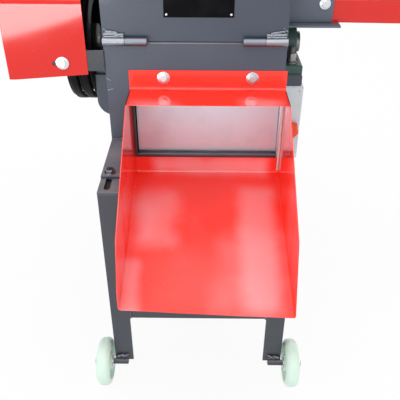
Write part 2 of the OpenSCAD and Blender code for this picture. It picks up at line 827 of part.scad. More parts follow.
module knife_bolts() color(steel) at_origin() for (a = knife_angles) at_knife(a) for (r = knife_bolt_rs) {
    rod_x(disc_x0 - 8, knife_x1 - 2, r, 8, bolt_d);
    rod_x(knife_x1 - 4, knife_x1 - 0.5, r, 8, 2 * bolt_d - 1);
    rod_x(disc_x0 - 6, disc_x0, r, 8, 1.9 * bolt_d);
}

module paddle_rotor() color(slate) at_origin() difference() {
    end = disc_x0 - 10;
    union() {
        rod_x(paddle_x0, disc_x0, axis_y, axis_z, 2 * hub_r);
        for (i = [0:paddles - 1]) translate([0, axis_y, axis_z]) rotate([i * 360 / paddles + 45, 0, 0])
            block([paddle_x0, end], [shaft_d / 2 + 4, paddle_r], [-paddle_t / 2, paddle_t / 2]);
    }
    shaft_bore(paddle_x0 - 1, disc_x0 + 1);
}

module counter_knife() color(zinc) at_origin()
    block([right_in_x - counter_t, right_in_x], [axis_y - mouth_w / 2, axis_y + mouth_w / 2],
        [feed_z + mouth_rise - counter_h, feed_z + mouth_rise]);

// Bearings

module bearing_ring(x, w) difference() {
    rod_x(x - w / 2, x + w / 2, axis_y, axis_z, ring_d);
    shaft_bore(x - w, x + w);
}

module bearing_rings() color(steel) at_origin() {
    bearing_ring(left_block_x, block_w);
    bearing_ring(right_block_x, right_block_w);
}

// Pillow block of width w: a bolted base, a narrower neck and a round body
module bearing_block(x, w) difference() {
    y = [axis_y - block_len / 2, axis_y + block_len / 2];
    body_d = 2 * (block_h - 4);
    body_half = w / 2 - block_shoulder;
    neck_half = block_neck_w / 2;
    union() {
        block([x - w / 2, x + w / 2], y, [bracket_top, bracket_top + block_base_t]);
        rod_x(x - body_half, x + body_half, axis_y, axis_z, body_d);
        block([x - neck_half, x + neck_half], [axis_y - body_d / 2, axis_y + body_d / 2], [bracket_top, axis_z]);
    }
    rod_x(x - w, x + w, axis_y, axis_z, ring_d + 2 * run_fit);
    for (s = [-1, 1])
        rod_z(bracket_top - 1, bracket_top + block_base_t + 2, x, axis_y + s * block_bolt_y, stud_hole_d);
}

module bearing_block_left() color(bearing_green) at_origin() bearing_block(left_block_x, block_w);

module bearing_block_right() color(bearing_green) at_origin() bearing_block(right_block_x, right_block_w);

// Bracket plate with a gusset of depth drop at each end, its outer corner rounded to r, standing out
// from the wall at x = 0
module bearing_bracket(w, bolt_x, drop, r) difference() {
    y = [axis_y - block_len / 2 - bracket_t, axis_y + block_len / 2 + bracket_t];
    plate_low = bracket_top - bracket_t;
    union() {
        block([0, w], y, [plate_low, bracket_top]);
        for (g = [y[0], y[1] - bracket_t]) along(g, g + bracket_t) {
            translate([0, plate_low - drop + r]) square([w, drop - r]);
            translate([0, plate_low - drop]) square([w - r, drop]);
            translate([w - r, plate_low - drop + r]) circle(r);
        }
    }
    translate([-2 * w, y[0] - 1, plate_low - drop - 1]) cube([2 * w, y[1] - y[0] + 2, drop + 20]);
    for (s = [-1, 1]) rod_z(plate_low - 1, bracket_top + 1, bolt_x, axis_y + s * block_bolt_y, stud_hole_d);
}

module bearing_bracket_left() color(slate) at_origin()
    translate([left_x, 0, 0]) mirror([1, 0, 0])
        bearing_bracket(bracket_w, left_x - left_block_x, gusset_h, gusset_r);

module bearing_bracket_right() color(slate) at_origin()
    translate([house_x1, 0, 0]) bearing_bracket(right_bracket_w, right_block_x - house_x1, lip_h, lip_r);

module bearing_bolts() color(zinc) at_origin()
    for (x = [left_block_x, right_block_x], s = [-1, 1])
        translate([x, axis_y + s * block_bolt_y, 0]) {
            nut_d = 1.6 * stud_d / cos(30);
            top = bracket_top + block_base_t;
            spring_top = top + stud_washer_t + spring_washer_t;
            nut_low = bracket_top - bracket_t - stud_nut_h;
            rod_z(nut_low - stud_end, top + stud_out, 0, 0, stud_d);
            rod_z(top, top + stud_washer_t, 0, 0, 2 * stud_d);
            rod_z(top, spring_top, 0, 0, 1.6 * stud_d);
            translate([0, 0, spring_top]) cylinder(h = stud_nut_h, d = nut_d, $fn = 6);
            translate([0, 0, nut_low]) cylinder(h = stud_nut_h, d = nut_d, $fn = 6);
        }

// Belt drive

module groove_cuts(r) for (s = [-0.5, 0.5]) translate([0, s * groove_pitch])
    polygon([[r + 1, groove_w / 2], [r + 1, -groove_w / 2],
        [r - groove_depth, 4 - groove_w / 2], [r - groove_depth, groove_w / 2 - 4]]);

module rotor_pulley() color(black) at_origin() difference() {
    r = pulley_d / 2;
    rim_in = r - groove_depth - 14;
    hub = shaft_d / 2 + 20;
    turned(pulley_x, axis_y, axis_z) difference() {
        union() {
            translate([0, -pulley_w / 2]) square([hub, pulley_w]);
            translate([0, -6]) square([rim_in + 1, 12]);
            translate([rim_in, -pulley_w / 2]) square([r - rim_in, pulley_w]);
        }
        groove_cuts(r);
    }
    shaft_bore(pulley_x - pulley_w, pulley_x + pulley_w);
    for (i = [0:4]) translate([0, axis_y, axis_z]) rotate([72 * i, 0, 0])
        rod_x(pulley_x - 10, pulley_x + 10, (rim_in + hub) / 2, 0, rim_in - hub - 20);
}

module motor_pulley() color(black) at_origin() difference() {
    turned(pulley_x, motor_y, motor_z) difference() {
        translate([0, -pulley_w / 2]) square([motor_pulley_d / 2, pulley_w]);
        groove_cuts(motor_pulley_d / 2);
    }
    rod_x(pulley_x - pulley_w, pulley_x + pulley_w, motor_y, motor_z, motor_shaft_d + 2 * slide_fit);
}

belt_run = [motor_y - axis_y, motor_z - axis_z];
belt_dir = atan2(belt_run[1], belt_run[0]);
belt_wrap = acos((pulley_d - motor_pulley_d) / 2 / norm(belt_run));

// Band round both pulleys, from depth d0 to depth d1 below their rims; each bend runs on a little
// past the start of the straight
module belt_band(d0, d1) {
    r = [pulley_d / 2, motor_pulley_d / 2];
    c = [[axis_y, axis_z], [motor_y, motor_z]];
    translate(c[0]) difference() {
        disc_without(r[0] - d0, belt_dir - belt_wrap + belt_lead, belt_dir + belt_wrap - belt_lead);
        circle(r[0] - d1);
    }
    translate(c[1]) difference() {
        disc_without(r[1] - d0, belt_dir + belt_wrap + belt_lead, belt_dir - belt_wrap + 360 - belt_lead);
        circle(r[1] - d1);
    }
    for (k = [-1, 1]) {
        out = [cos(belt_dir + k * belt_wrap), sin(belt_dir + k * belt_wrap)];
        polygon([c[0] + (r[0] - d0) * out, c[1] + (r[1] - d0) * out,
            c[1] + (r[1] - d1) * out, c[0] + (r[0] - d1) * out]);
    }
}

module v_belts() color(black) at_origin() for (s = [-0.5, 0.5]) {
    x = pulley_x + s * groove_pitch;
    half = groove_w / 2 - belt_side_gap;
    across(x - half, x + half) belt_band(-belt_proud, belt_lap);
}

// Guard outline, drawn in by the given inset, with its lower edge open below drop
module guard_outline(inset, drop) {
    slope = atan2(guard_top - guard_heel_z, guard_y1 - guard_fold_y);
    top = guard_top - inset;
    back = guard_y1 - inset;
    front = guard_y0 + inset;
    round_r = guard_corner_r;
    fold_y = guard_fold_y - inset * (1 - cos(slope)) / sin(slope);
    heel_z = guard_heel_z - inset * (1 - sin(slope)) / cos(slope);
    polygon([[front, guard_z - drop], [front, guard_top - round_r], [guard_y0 + round_r, top],
        [fold_y, top], [back, heel_z], [back, guard_rear_z - drop]]);
    translate([guard_y0 + round_r, guard_top - round_r]) circle(round_r - inset);
}

module belt_guard() color(red) at_origin() difference() {
    union() {
        across(guard_x0, guard_x0 + guard_t) guard_outline(0, 0);
        across(guard_x0, guard_x1) difference() {
            guard_outline(0, 0);
            guard_outline(guard_t, guard_drop);
        }
    }
    along(guard_y0 - 1, guard_y0 + guard_t + 1)
        polygon([[guard_x0, guard_z - 1], [guard_x1 + 1, guard_z - 1], [guard_x1 + 1, guard_z + guard_rise]]);
    rod_y(guard_y0 - 1, guard_y0 + guard_t + 1, guard_bolt_x, guard_bolt_z, bolt_hole_d);
    rod_y(guard_y0 - 1, guard_y0 + guard_t + 1, guard_bolt_x - 15, guard_bolt_z - 1, bolt_hole_d);
    block([guard_bolt_x - 15, guard_bolt_x], [guard_y0 - 1, guard_y0 + guard_t + 1],
        [guard_bolt_z - bolt_hole_d / 2, guard_bolt_z + bolt_hole_d / 2 - 1]);
    rod_y(guard_y1 - guard_t - 1, guard_y1 + 1, rear_bolt_x, rear_bar_z1 - rear_bar_h / 2, bolt_hole_d);
}

module guard_brackets() color(slate) at_origin() difference() {
    bar_y = guard_y0 + guard_t;
    union() {
        block([guard_bolt_x - bar_end, left_x], [bar_y, bar_y + bar_t], [bar_z, bar_z + bar_h]);
        block([left_x + 6, left_x + angle_w - 2], [rear_bar_y1 - bar_t, rear_bar_y1], [motor_base_z, rear_bar_z1]);
        block([rear_bolt_x - bar_end + 5, left_x + 7], [rear_bar_y1 - bar_t, rear_bar_y1],
            [rear_bar_z1 - rear_bar_h, rear_bar_z1]);
    }
    rod_y(bar_y - 1, bar_y + bar_t + 1, guard_bolt_x, guard_bolt_z, bolt_hole_d);
    rod_y(rear_bar_y1 - bar_t - 1, rear_bar_y1 + 1, rear_bolt_x, rear_bar_z1 - rear_bar_h / 2, bolt_hole_d);
}

// Motor

motor_bolt_xs = [motor_x0 + motor_bolt_inset, motor_x1 - motor_bolt_inset];
motor_bolt_out = motor_d / 2 - 4;

module motor_plate() color(slate) at_origin() difference() {
    x = [left_x, right_x];
    y0 = motor_plate_y0;
    y1 = motor_plate_y1;
    union() {
        block(x, [y0, y1], [motor_plate_z, motor_base_z]);
        for (y = [y0, y1 - rail_t]) block(x, [y, y + rail_t], [base_rail_z, motor_plate_z + 1]);
        for (y = [y0, y1 - rail_foot]) block(x, [y, y + rail_foot], [base_rail_z, base_rail_z + rail_t]);
    }
    for (bolt_x = motor_bolt_xs, s = [-1, 1])
        rod_z(motor_plate_z - 1, motor_base_z + 1, bolt_x, motor_y + s * motor_bolt_out, bolt_hole_d);
}

// Tilted to the rear about the motor axis, to the terminal box's corner drawn in by rim
module at_terminal(rim) translate([motor_x0 + terminal_x + rim, motor_y, motor_z])
    rotate([-terminal_tilt, 0, 0]) translate([0, rim - terminal_w / 2, 0]) children();

module motor_body() color(motor_grey) at_origin() difference() {
    union() {
        rod_x(motor_x0, motor_x1, motor_y, motor_z, motor_d);
        for (i = [0:fins - 1]) translate([0, motor_y, motor_z]) rotate([(i + 0.5) * 360 / fins, 0, 0])
            block([motor_x0 + 8, motor_x1 - 8], [motor_d / 2 - 2, motor_d / 2 + fin_h], [-1.25, 1.25]);
        block([motor_x0 + 5, motor_x1 - 5], [motor_y - motor_d / 2 - 8, motor_y + motor_d / 2 + 8],
            [motor_base_z, motor_base_z + motor_base_t]);
        block([motor_x0 + 5, motor_x1 - 5], [motor_y - 45, motor_y + 45], [motor_base_z, motor_z]);
        at_terminal(terminal_rim)
            cube([terminal_len - 2 * terminal_rim, terminal_w - 2 * terminal_rim, terminal_seat]);
    }
    rod_x(motor_x0 - 1, motor_x1 + 1, motor_y, motor_z, motor_d - 2 * motor_wall);
    for (x = motor_bolt_xs, s = [-1, 1]) translate([x, motor_y + s * motor_bolt_out, 0]) {
        rod_z(motor_base_z - 1, motor_base_z + motor_base_t + 1, 0, 0, bolt_hole_d);
        rod_z(motor_base_z + motor_base_t, motor_z, 0, 0, 2.6 * bolt_d);
    }
}

module motor_end_shields() color(motor_grey) at_origin()
    for (e = [[motor_x0 - shield_t, motor_x0], [motor_x1, motor_x1 + shield_t - 4]]) difference() {
        rod_x(e[0], e[1], motor_y, motor_z, shield_d);
        rod_x(e[0] - 1, e[1] + 1, motor_y, motor_z, motor_shaft_d + 2 * run_fit);
    }

fan_x0 = motor_x1 + shield_t - 4;
fan_x1 = fan_x0 + fan_gap;

module motor_fan_cover() color(motor_grey) at_origin() difference() {
    rod_x(fan_x0 - 8, fan_x1, motor_y, motor_z, fan_cover_d);
    rod_x(fan_x0 - 9, fan_x1 - 2, motor_y, motor_z, shield_d + 2 * slide_fit);
    for (ring = [[6, 22], [12, 40], [18, 57]], i = [0:ring[0] - 1]) translate([0, motor_y, motor_z])
        rotate([i * 360 / ring[0], 0, 0]) rod_x(fan_x1 - 4, fan_x1 + 1, ring[1], 0, 11);
}

module motor_fan() color(black) at_origin() difference() {
    x = [fan_x0 + fan_inset, fan_x0 + fan_inset + fan_len];
    union() {
        rod_x(x[0], x[1], motor_y, motor_z, motor_shaft_d + 2 * fan_hub_wall);
        rod_x(x[0], x[0] + 3, motor_y, motor_z, motor_d - 2 * fan_tip_gap + 2);
        for (i = [0:6]) translate([0, motor_y, motor_z]) rotate([i * 360 / 7, 0, 0])
            block(x, [motor_shaft_d / 2 + fan_hub_wall / 2, motor_d / 2 - fan_tip_gap], [-1.5, 1.5]);
    }
    rod_x(fan_x0, fan_x1, motor_y, motor_z, motor_shaft_d + 2 * slide_fit);
}

module motor_shaft() color(steel) at_origin() {
    rod_x(pulley_x - pulley_w / 2 - 3, fan_x0 + fan_inset + fan_len + 4, motor_y, motor_z, motor_shaft_d);
    rod_x(motor_x0 + 14, motor_x1 - 14, motor_y, motor_z, motor_d - 2 * motor_wall - 4);
}

module motor_terminal_box() color(motor_grey) at_origin() at_terminal(0)
    translate([0, 0, terminal_seat]) cube([terminal_len, terminal_w, terminal_h]);

module motor_bolts() color(zinc) at_origin()
    for (x = motor_bolt_xs, s = [-1, 1])
        translate([x, motor_y + s * motor_bolt_out, motor_base_z + motor_base_t])
            bolt(bolt_d, motor_base_t + motor_plate_t, 2.2 * bolt_d);

// Feed

module feed_floor() color(slate) at_origin()
    block([house_x1, box_x1 + 14], [box_y0 - floor_out, box_y1 + floor_out], [feed_z - floor_t, feed_z]);

module feed_box() color(slate) at_origin() difference() {
    x = [house_x1, box_x1];
    z1 = feed_z + box_h;
    union() {
        for (y = [box_y0, box_y1 - sheet_t]) block(x, [y, y + sheet_t], [feed_z, z1]);
        block(x, [box_y0, box_y1], [z1, z1 + sheet_t]);
    }
    rod_y(box_y0 - 1, box_y1 + 1, feed_bolt_x, feed_bolt_z, bolt_hole_d);
}

module tray_plan() polygon([[tray_x0, tray_y0], [box_x1 + 2, tray_y0], [tray_x1, tray_y0 - tray_flare],
    [tray_x1, tray_y1 + tray_flare], [box_x1 + 2, tray_y1], [tray_x0, tray_y1]]);

module tray_hollow() polygon([[tray_x0 - 1, tray_y0 + tray_t], [box_x1 + 2, tray_y0 + tray_t],
    [tray_x1 + 1, tray_y0 + tray_t - tray_flare], [tray_x1 + 1, tray_y1 - tray_t + tray_flare],
    [box_x1 + 2, tray_y1 - tray_t], [tray_x0 - 1, tray_y1 - tray_t]]);

module feed_tray() color(red) at_origin() difference() {
    translate([0, 0, feed_z]) linear_extrude(tray_h) tray_plan();
    translate([0, 0, feed_z + tray_t]) linear_extrude(tray_h) tray_hollow();
    rod_y(box_y0 - 1, box_y1 + 1, feed_bolt_x, feed_bolt_z, bolt_hole_d);
}

// Switch

module switch_box() color(pale_grey) at_origin()
    block([house_x1, house_x1 + switch_w], [switch_y0, switch_y1], [switch_top - switch_h, switch_top]);

module switch_cover() color(pale_grey) at_origin()
    block([house_x1 + 1.5, house_x1 + switch_w - 1.5], [switch_y0 - switch_cover_t, switch_y0],
        [switch_top - switch_h + 1.5, switch_top - 1.5]);

module switch_knob() color(red) at_origin() translate([turn_x, switch_y0 - switch_cover_t - slack, turn_z])
    rotate([90, 0, 0]) {
        cylinder(h = 5, d = 24);
        translate([-5.5, -turn_knob_len / 2, 4]) cube([11, turn_knob_len, 13]);
    }

leg_front_left();
leg_front_right();
leg_rear_left();
leg_rear_right();
post_left();
rail_upper_left();
rail_lower_left();
rail_right();
crossbars();
rear_feet();
wheel_axles();
axle_washers();
wheel_left();
wheel_right();
motor_plate();
housing_front();
housing_left();
housing_right();
housing_scroll();
foot_bolts();
upper_cover();
nameplate();
hinge_knuckles_fixed();
hinge_knuckles_moving();
hinge_pins();
cover_knob();
discharge_chute();
discharge_flap();
flap_rod();
panel_bolts();
rotor_shaft();
knife_disc();
knives();
knife_bolts();
paddle_rotor();
counter_knife();
bearing_rings();
bearing_block_left();
bearing_block_right();
bearing_bracket_left();
bearing_bracket_right();
bearing_bolts();
rotor_pulley();
motor_pulley();
v_belts();
belt_guard();
guard_brackets();
motor_body();
motor_end_shields();
motor_fan_cover();
motor_fan();
motor_shaft();
motor_terminal_box();
motor_bolts();
feed_floor();
feed_box();
feed_tray();
switch_box();
switch_cover();
switch_knob();
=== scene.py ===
# %% [markdown]
# # Dressing a motor-driven chaff cutter
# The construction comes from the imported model: every plate, shaft and bolt already sits at its real
# size and place. This lesson gives each piece its finish: folded and painted sheet, rolled edges,
# weld beads, plated fasteners, cast iron and moulded plastic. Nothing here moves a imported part.
# A piece that needs a better surface is modelled beside it and stands in for it.

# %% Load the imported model
import json
import math

import bpy
from mathutils import Matrix, Vector


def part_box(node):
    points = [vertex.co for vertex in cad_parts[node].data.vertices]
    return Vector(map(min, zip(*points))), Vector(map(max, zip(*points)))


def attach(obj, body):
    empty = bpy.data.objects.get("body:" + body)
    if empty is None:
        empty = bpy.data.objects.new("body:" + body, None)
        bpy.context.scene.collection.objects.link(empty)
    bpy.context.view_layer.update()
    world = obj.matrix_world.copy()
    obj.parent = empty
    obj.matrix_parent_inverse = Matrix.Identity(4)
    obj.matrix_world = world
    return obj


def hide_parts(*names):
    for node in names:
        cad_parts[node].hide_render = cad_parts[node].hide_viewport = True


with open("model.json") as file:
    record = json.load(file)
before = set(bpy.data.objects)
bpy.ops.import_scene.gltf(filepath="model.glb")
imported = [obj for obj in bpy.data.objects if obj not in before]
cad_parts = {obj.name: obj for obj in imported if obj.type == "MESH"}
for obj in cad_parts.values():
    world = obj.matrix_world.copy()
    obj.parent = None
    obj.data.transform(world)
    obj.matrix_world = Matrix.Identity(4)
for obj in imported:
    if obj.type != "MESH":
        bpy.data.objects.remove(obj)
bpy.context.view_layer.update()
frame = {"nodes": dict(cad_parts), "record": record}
record = frame["record"]
body_of = {node: body for body, nodes in record["behaviour"]["bodies"].items() for node in nodes}
slot_of = {row["node"]: row["material_slot"] for row in record["subparts"]}
MM = 0.001
leg_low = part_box("leg_front_left")[0]
leg_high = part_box("leg_front_right")[1]
DRAWING = Vector(((leg_low.x + leg_high.x) / 2, leg_low.y, 0))


def at(x, y, z):
    """A point in millimetres: x from the frame's middle, y from the front legs, z from the floor."""
    return DRAWING + Vector((x, y, z)) * MM


# %% [markdown]
# ## Camera
# The camera was solved once from the photograph, with the transport wheels as the known length. It
# looks down on the machine from the discharge side. Its place is in metres in the shared frame, and
# three small angles turn it.

# %% Camera
CAMERA_PLACE = Vector((-0.1557, -1.0968, 1.0005))
CAMERA_YAW = math.radians(-0.53)
CAMERA_PITCH = math.radians(33.48)
CAMERA_ROLL = math.radians(-0.16)
CAMERA_LENS = 50.61


def camera_turn(yaw, pitch, roll):
    forward = Vector((math.sin(yaw) * math.cos(pitch), math.cos(yaw) * math.cos(pitch), -math.sin(pitch)))
    right = Vector((math.cos(yaw), -math.sin(yaw), 0))
    down = forward.cross(right)
    rolled = math.cos(roll) * right + math.sin(roll) * down
    return Matrix((rolled, forward.cross(rolled) * -1, forward * -1)).transposed()


camera_data = bpy.data.cameras.new("photo_camera")
camera_data.lens = CAMERA_LENS
camera_data.sensor_width = 36
camera_data.clip_end = 50
camera = bpy.data.objects.new("photo_camera", camera_data)
bpy.context.scene.collection.objects.link(camera)
turn = camera_turn(CAMERA_YAW, CAMERA_PITCH, CAMERA_ROLL).to_4x4()
camera.matrix_world = Matrix.Translation(CAMERA_PLACE) @ turn
bpy.context.scene.camera = camera
bpy.context.scene.view_settings.view_transform = "Standard"
print("camera at", tuple(camera.location))

# %% [markdown]
# ## Small helpers for materials
# Shader trees are built in code. `add` places one node and sets its properties, and `fill` wires or
# fills its sockets, so that each finish below reads as a short recipe.

# %% Material helpers


def fill(tree, node, sockets):
    """Sets sockets of a node; a value is a number, a colour or another node's output."""
    for key, value in sockets.items():
        if isinstance(value, bpy.types.NodeSocket):
            tree.links.new(value, node.inputs[key])
        else:
            node.inputs[key].default_value = value


def add(tree, kind, sockets=None, **settings):
    """One new node in a tree, with its settings and sockets."""
    node = tree.nodes.new(kind)
    for key, value in settings.items():
        setattr(node, key, value)
    fill(tree, node, sockets or {})
    return node


def new_group(name, inputs, outputs):
    """An empty node group with named sockets: its tree, its inputs and its end node."""
    tree = bpy.data.node_groups.new(name, "ShaderNodeTree")
    for label, value in inputs.items():
        kind = "NodeSocketColor" if isinstance(value, tuple) else "NodeSocketFloat"
        socket = tree.interface.new_socket(label, in_out="INPUT", socket_type=kind)
        socket.default_value = (*value, 1) if isinstance(value, tuple) else value
    for label, kind in outputs.items():
        tree.interface.new_socket(label, in_out="OUTPUT", socket_type=kind)
    return tree, tree.nodes.new("NodeGroupInput").outputs, tree.nodes.new("NodeGroupOutput")


def mix_colour(tree, factor, first, second):
    return add(tree, "ShaderNodeMix", {0: factor, 6: first, 7: second}, data_type="RGBA").outputs[2]


def ramp(tree, value, low, high, out_low=0.0, out_high=1.0):
    """Maps low..high of a value to out_low..out_high, held at both ends."""
    ends = {"From Min": low, "From Max": high, "To Min": out_low, "To Max": out_high}
    return add(tree, "ShaderNodeMapRange", {"Value": value, **ends}).outputs["Result"]


def math_node(tree, operation, *values):
    return add(tree, "ShaderNodeMath", dict(enumerate(values)), operation=operation).outputs[0]


def object_place(tree):
    """Object coordinates, on which a pattern keeps its place on the piece."""
    return add(tree, "ShaderNodeTexCoord").outputs["Object"]


def noise(tree, where, scale, detail=2.0, stretch=(1, 1, 1)):
    mapping = add(tree, "ShaderNodeMapping", {"Vector": where, "Scale": stretch})
    node = add(tree, "ShaderNodeTexNoise", {"Vector": mapping.outputs[0], "Scale": scale, "Detail": detail})
    return node.outputs["Fac"]


SURFACE = {"Color": "NodeSocketColor", "Roughness": "NodeSocketFloat", "Height": "NodeSocketFloat"}
print("helpers ready")

# %% [markdown]
# ## Shared surface effects
# Three effects repeat over the machine. Sprayed enamel has slow colour drift, tiny dust nibs, fine
# scratches and an orange-peel skin. Bare or plated metal has grain that runs along the rolling or
# turning direction. Cast and moulded surfaces have a dull mottled skin. Each is one node group with
# named inputs, placed in every material that needs it with values of its own.

# %% Sprayed enamel group
enamel, enamel_in, enamel_end = new_group(
    "sprayed_enamel",
    {"Paint": (0.5, 0.5, 0.5), "Drift": (0.4, 0.4, 0.4), "Nib": (0.8, 0.8, 0.8), "Wear": 0.5,
     "Smooth": 0.2, "Rough": 0.4}, SURFACE)
enamel_where = object_place(enamel)
slow_drift = ramp(enamel, noise(enamel, enamel_where, 7, 3), 0.35, 0.68)
nibs = ramp(enamel, noise(enamel, enamel_where, 190, 1), 0.735, 0.765)
scratch_lines = ramp(enamel, noise(enamel, enamel_where, 11, 4, (3, 34, 30)), 0.70, 0.73)
scratch_field = ramp(enamel, noise(enamel, enamel_where, 9, 2), 0.5, 0.7)
scratches = math_node(enamel, "MULTIPLY", scratch_lines, scratch_field)
flaws = math_node(enamel, "MAXIMUM", nibs, scratches)
marks = math_node(enamel, "MULTIPLY", flaws, enamel_in["Wear"])
drifted = mix_colour(enamel, slow_drift, enamel_in["Paint"], enamel_in["Drift"])
cloudy = ramp(enamel, noise(enamel, enamel_where, 26, 4), 0.3, 0.75)
orange_peel = noise(enamel, enamel_where, 260, 2)
fill(enamel, enamel_end, {
    "Color": mix_colour(enamel, marks, drifted, enamel_in["Nib"]),
    "Roughness": ramp(enamel, cloudy, 0.0, 1.0, enamel_in["Smooth"], enamel_in["Rough"]),
    "Height": math_node(enamel, "MULTIPLY_ADD", orange_peel, 0.35, marks)})
print("group", enamel.name)

# %% Grained metal group
grained, grained_in, grained_end = new_group(
    "grained_metal",
    {"Metal": (0.7, 0.7, 0.7), "Stain": (0.5, 0.5, 0.5), "Grain Scale": 30.0, "Along X": 1.0,
     "Along Z": 1.0, "Smooth": 0.25, "Rough": 0.45}, SURFACE)
grained_where = object_place(grained)
stretch = add(grained, "ShaderNodeCombineXYZ", {
    "X": grained_in["Along X"], "Y": 1.0, "Z": grained_in["Along Z"]})
grain = noise(grained, grained_where, grained_in["Grain Scale"], 5, stretch.outputs[0])
stains = ramp(grained, noise(grained, grained_where, 16, 4), 0.5, 0.72)
fill(grained, grained_end, {
    "Color": mix_colour(grained, stains, grained_in["Metal"], grained_in["Stain"]),
    "Roughness": ramp(grained, grain, 0.0, 1.0, grained_in["Smooth"], grained_in["Rough"]),
    "Height": grain})
print("group", grained.name)

# %% Mottled skin group
mottled, mottled_in, mottled_end = new_group(
    "mottled_skin",
    {"Base": (0.1, 0.1, 0.1), "Dusty": (0.2, 0.2, 0.2), "Pore Scale": 120.0, "Smooth": 0.4, "Rough": 0.6},
    SURFACE)
mottled_where = object_place(mottled)
dust_patches = ramp(mottled, noise(mottled, mottled_where, 24, 4), 0.48, 0.75)
fill(mottled, mottled_end, {
    "Color": mix_colour(mottled, dust_patches, mottled_in["Base"], mottled_in["Dusty"]),
    "Roughness": ramp(mottled, dust_patches, 0.0, 1.0, mottled_in["Smooth"], mottled_in["Rough"]),
    "Height": noise(mottled, mottled_where, mottled_in["Pore Scale"], 4)})
print("group", mottled.name)

# %% [markdown]
# ## Finishes
# One function places a group in front of a Principled shader and adds a Bump node. What is the same
# all over a surface, such as metalness or the clear coat, is set on the shader itself.

# %% Finish functions
PEEL_DEPTH = 0.4 * MM
GRAIN_DEPTH = 0.3 * MM
PORE_DEPTH = 0.6 * MM
GRAIN_RELIEF = 0.12
COAT_ROUGH = 0.05


def finish(name, group, values, relief, depth, shader):
    """A material with one group in front of its shader; relief is the strength of the bump."""
    material = bpy.data.materials.new(name)
    material.use_nodes = True
    tree = material.node_tree
    skin = add(tree, "ShaderNodeGroup", node_tree=group)
    for key, value in values.items():
        skin.inputs[key].default_value = (*value, 1) if isinstance(value, tuple) else value
    bump = add(tree, "ShaderNodeBump", {
        "Height": skin.outputs["Height"], "Strength": relief, "Distance": depth})
    fill(tree, tree.nodes["Principled BSDF"], {
        "Base Color": skin.outputs["Color"], "Roughness": skin.outputs["Roughness"],
        "Normal": bump.outputs["Normal"], **shader})
    return material


def enamel_finish(name, paint, drift, nib, wear, smooth, rough, coat=0.0, peel=0.1):
    values = {"Paint": paint, "Drift": drift, "Nib": nib, "Wear": wear, "Smooth": smooth, "Rough": rough}
    shader = {"Coat Weight": coat, "Coat Roughness": COAT_ROUGH}
    return finish(name, enamel, values, peel, PEEL_DEPTH, shader)


def metal_finish(name, metal, stain, grain_scale, along, smooth, rough):
    values = {"Metal": metal, "Stain": stain, "Grain Scale": grain_scale, "Along X": along[0],
              "Along Z": along[1], "Smooth": smooth, "Rough": rough}
    return finish(name, grained, values, GRAIN_RELIEF, GRAIN_DEPTH, {"Metallic": 1.0})


def skin_finish(name, base, dusty, pore_scale, smooth, rough, bump=0.3, metallic=0.0, shine=0.5):
    values = {"Base": base, "Dusty": dusty, "Pore Scale": pore_scale, "Smooth": smooth, "Rough": rough}
    shader = {"Metallic": metallic, "Specular IOR Level": shine}
    return finish(name, mottled, values, bump, PORE_DEPTH, shader)


print("finish functions ready")

# %% The machine's finishes
RED = (0.60, 0.009, 0.004)
RED_DEEP = (0.56, 0.008, 0.004)
# The chute's red is the same paint as RED, made much lighter: painted light inside the chute.
CHUTE_RED_LIT = (0.94, 0.030, 0.013)
CHUTE_RED_DEEP_LIT = (0.90, 0.026, 0.011)
SLATE = (0.055, 0.069, 0.099)
SLATE_DEEP = (0.050, 0.062, 0.089)

# Name, paint, drift, nib, wear, smooth, rough, coat, peel.
ENAMELS = {
    "red_paint": ("red_enamel", RED, RED_DEEP, (0.90, 0.40, 0.36), 0.05, 0.05, 0.09, 0.15, 0.02),
    "housing_paint": ("slate_enamel", SLATE, SLATE_DEEP, (0.16, 0.18, 0.21), 0.15, 0.30, 0.44, 0.1),
    "feed_paint": ("feed_enamel", (0.084, 0.102, 0.138), (0.076, 0.092, 0.126), (0.2, 0.22, 0.25),
        0.15, 0.30, 0.44, 0.1),
    "cover_paint": ("cover_enamel", (0.043, 0.056, 0.083), (0.039, 0.050, 0.075), (0.15, 0.17, 0.20),
        0.15, 0.30, 0.44, 0.1),
    "bracket_paint": ("bracket_enamel", (0.026, 0.031, 0.042), (0.023, 0.028, 0.038), (0.15, 0.16, 0.18),
        0.2, 0.30, 0.46, 0.1),
    # Paler slate for the rim strip: partly worn paint, partly a painted highlight along the edge.
    "housing_edge_wear_and_highlight": ("slate_enamel_edge_wear_and_highlight", (0.17, 0.18, 0.21), (0.12, 0.13, 0.155), (0.5, 0.5, 0.52),
        0.8, 0.35, 0.55),
    "frame_paint": ("frame_enamel", (0.041, 0.049, 0.064), (0.037, 0.044, 0.057), (0.18, 0.19, 0.21),
        0.2, 0.30, 0.46, 0.15),
    "motor_paint": ("motor_enamel", (0.070, 0.092, 0.125), (0.06, 0.08, 0.108), (0.3, 0.32, 0.35),
        0.35, 0.34, 0.5),
    "fan_cover_paint": ("fan_cover_enamel", (0.050, 0.064, 0.088), (0.042, 0.055, 0.075),
        (0.26, 0.28, 0.3), 0.35, 0.34, 0.5),
}

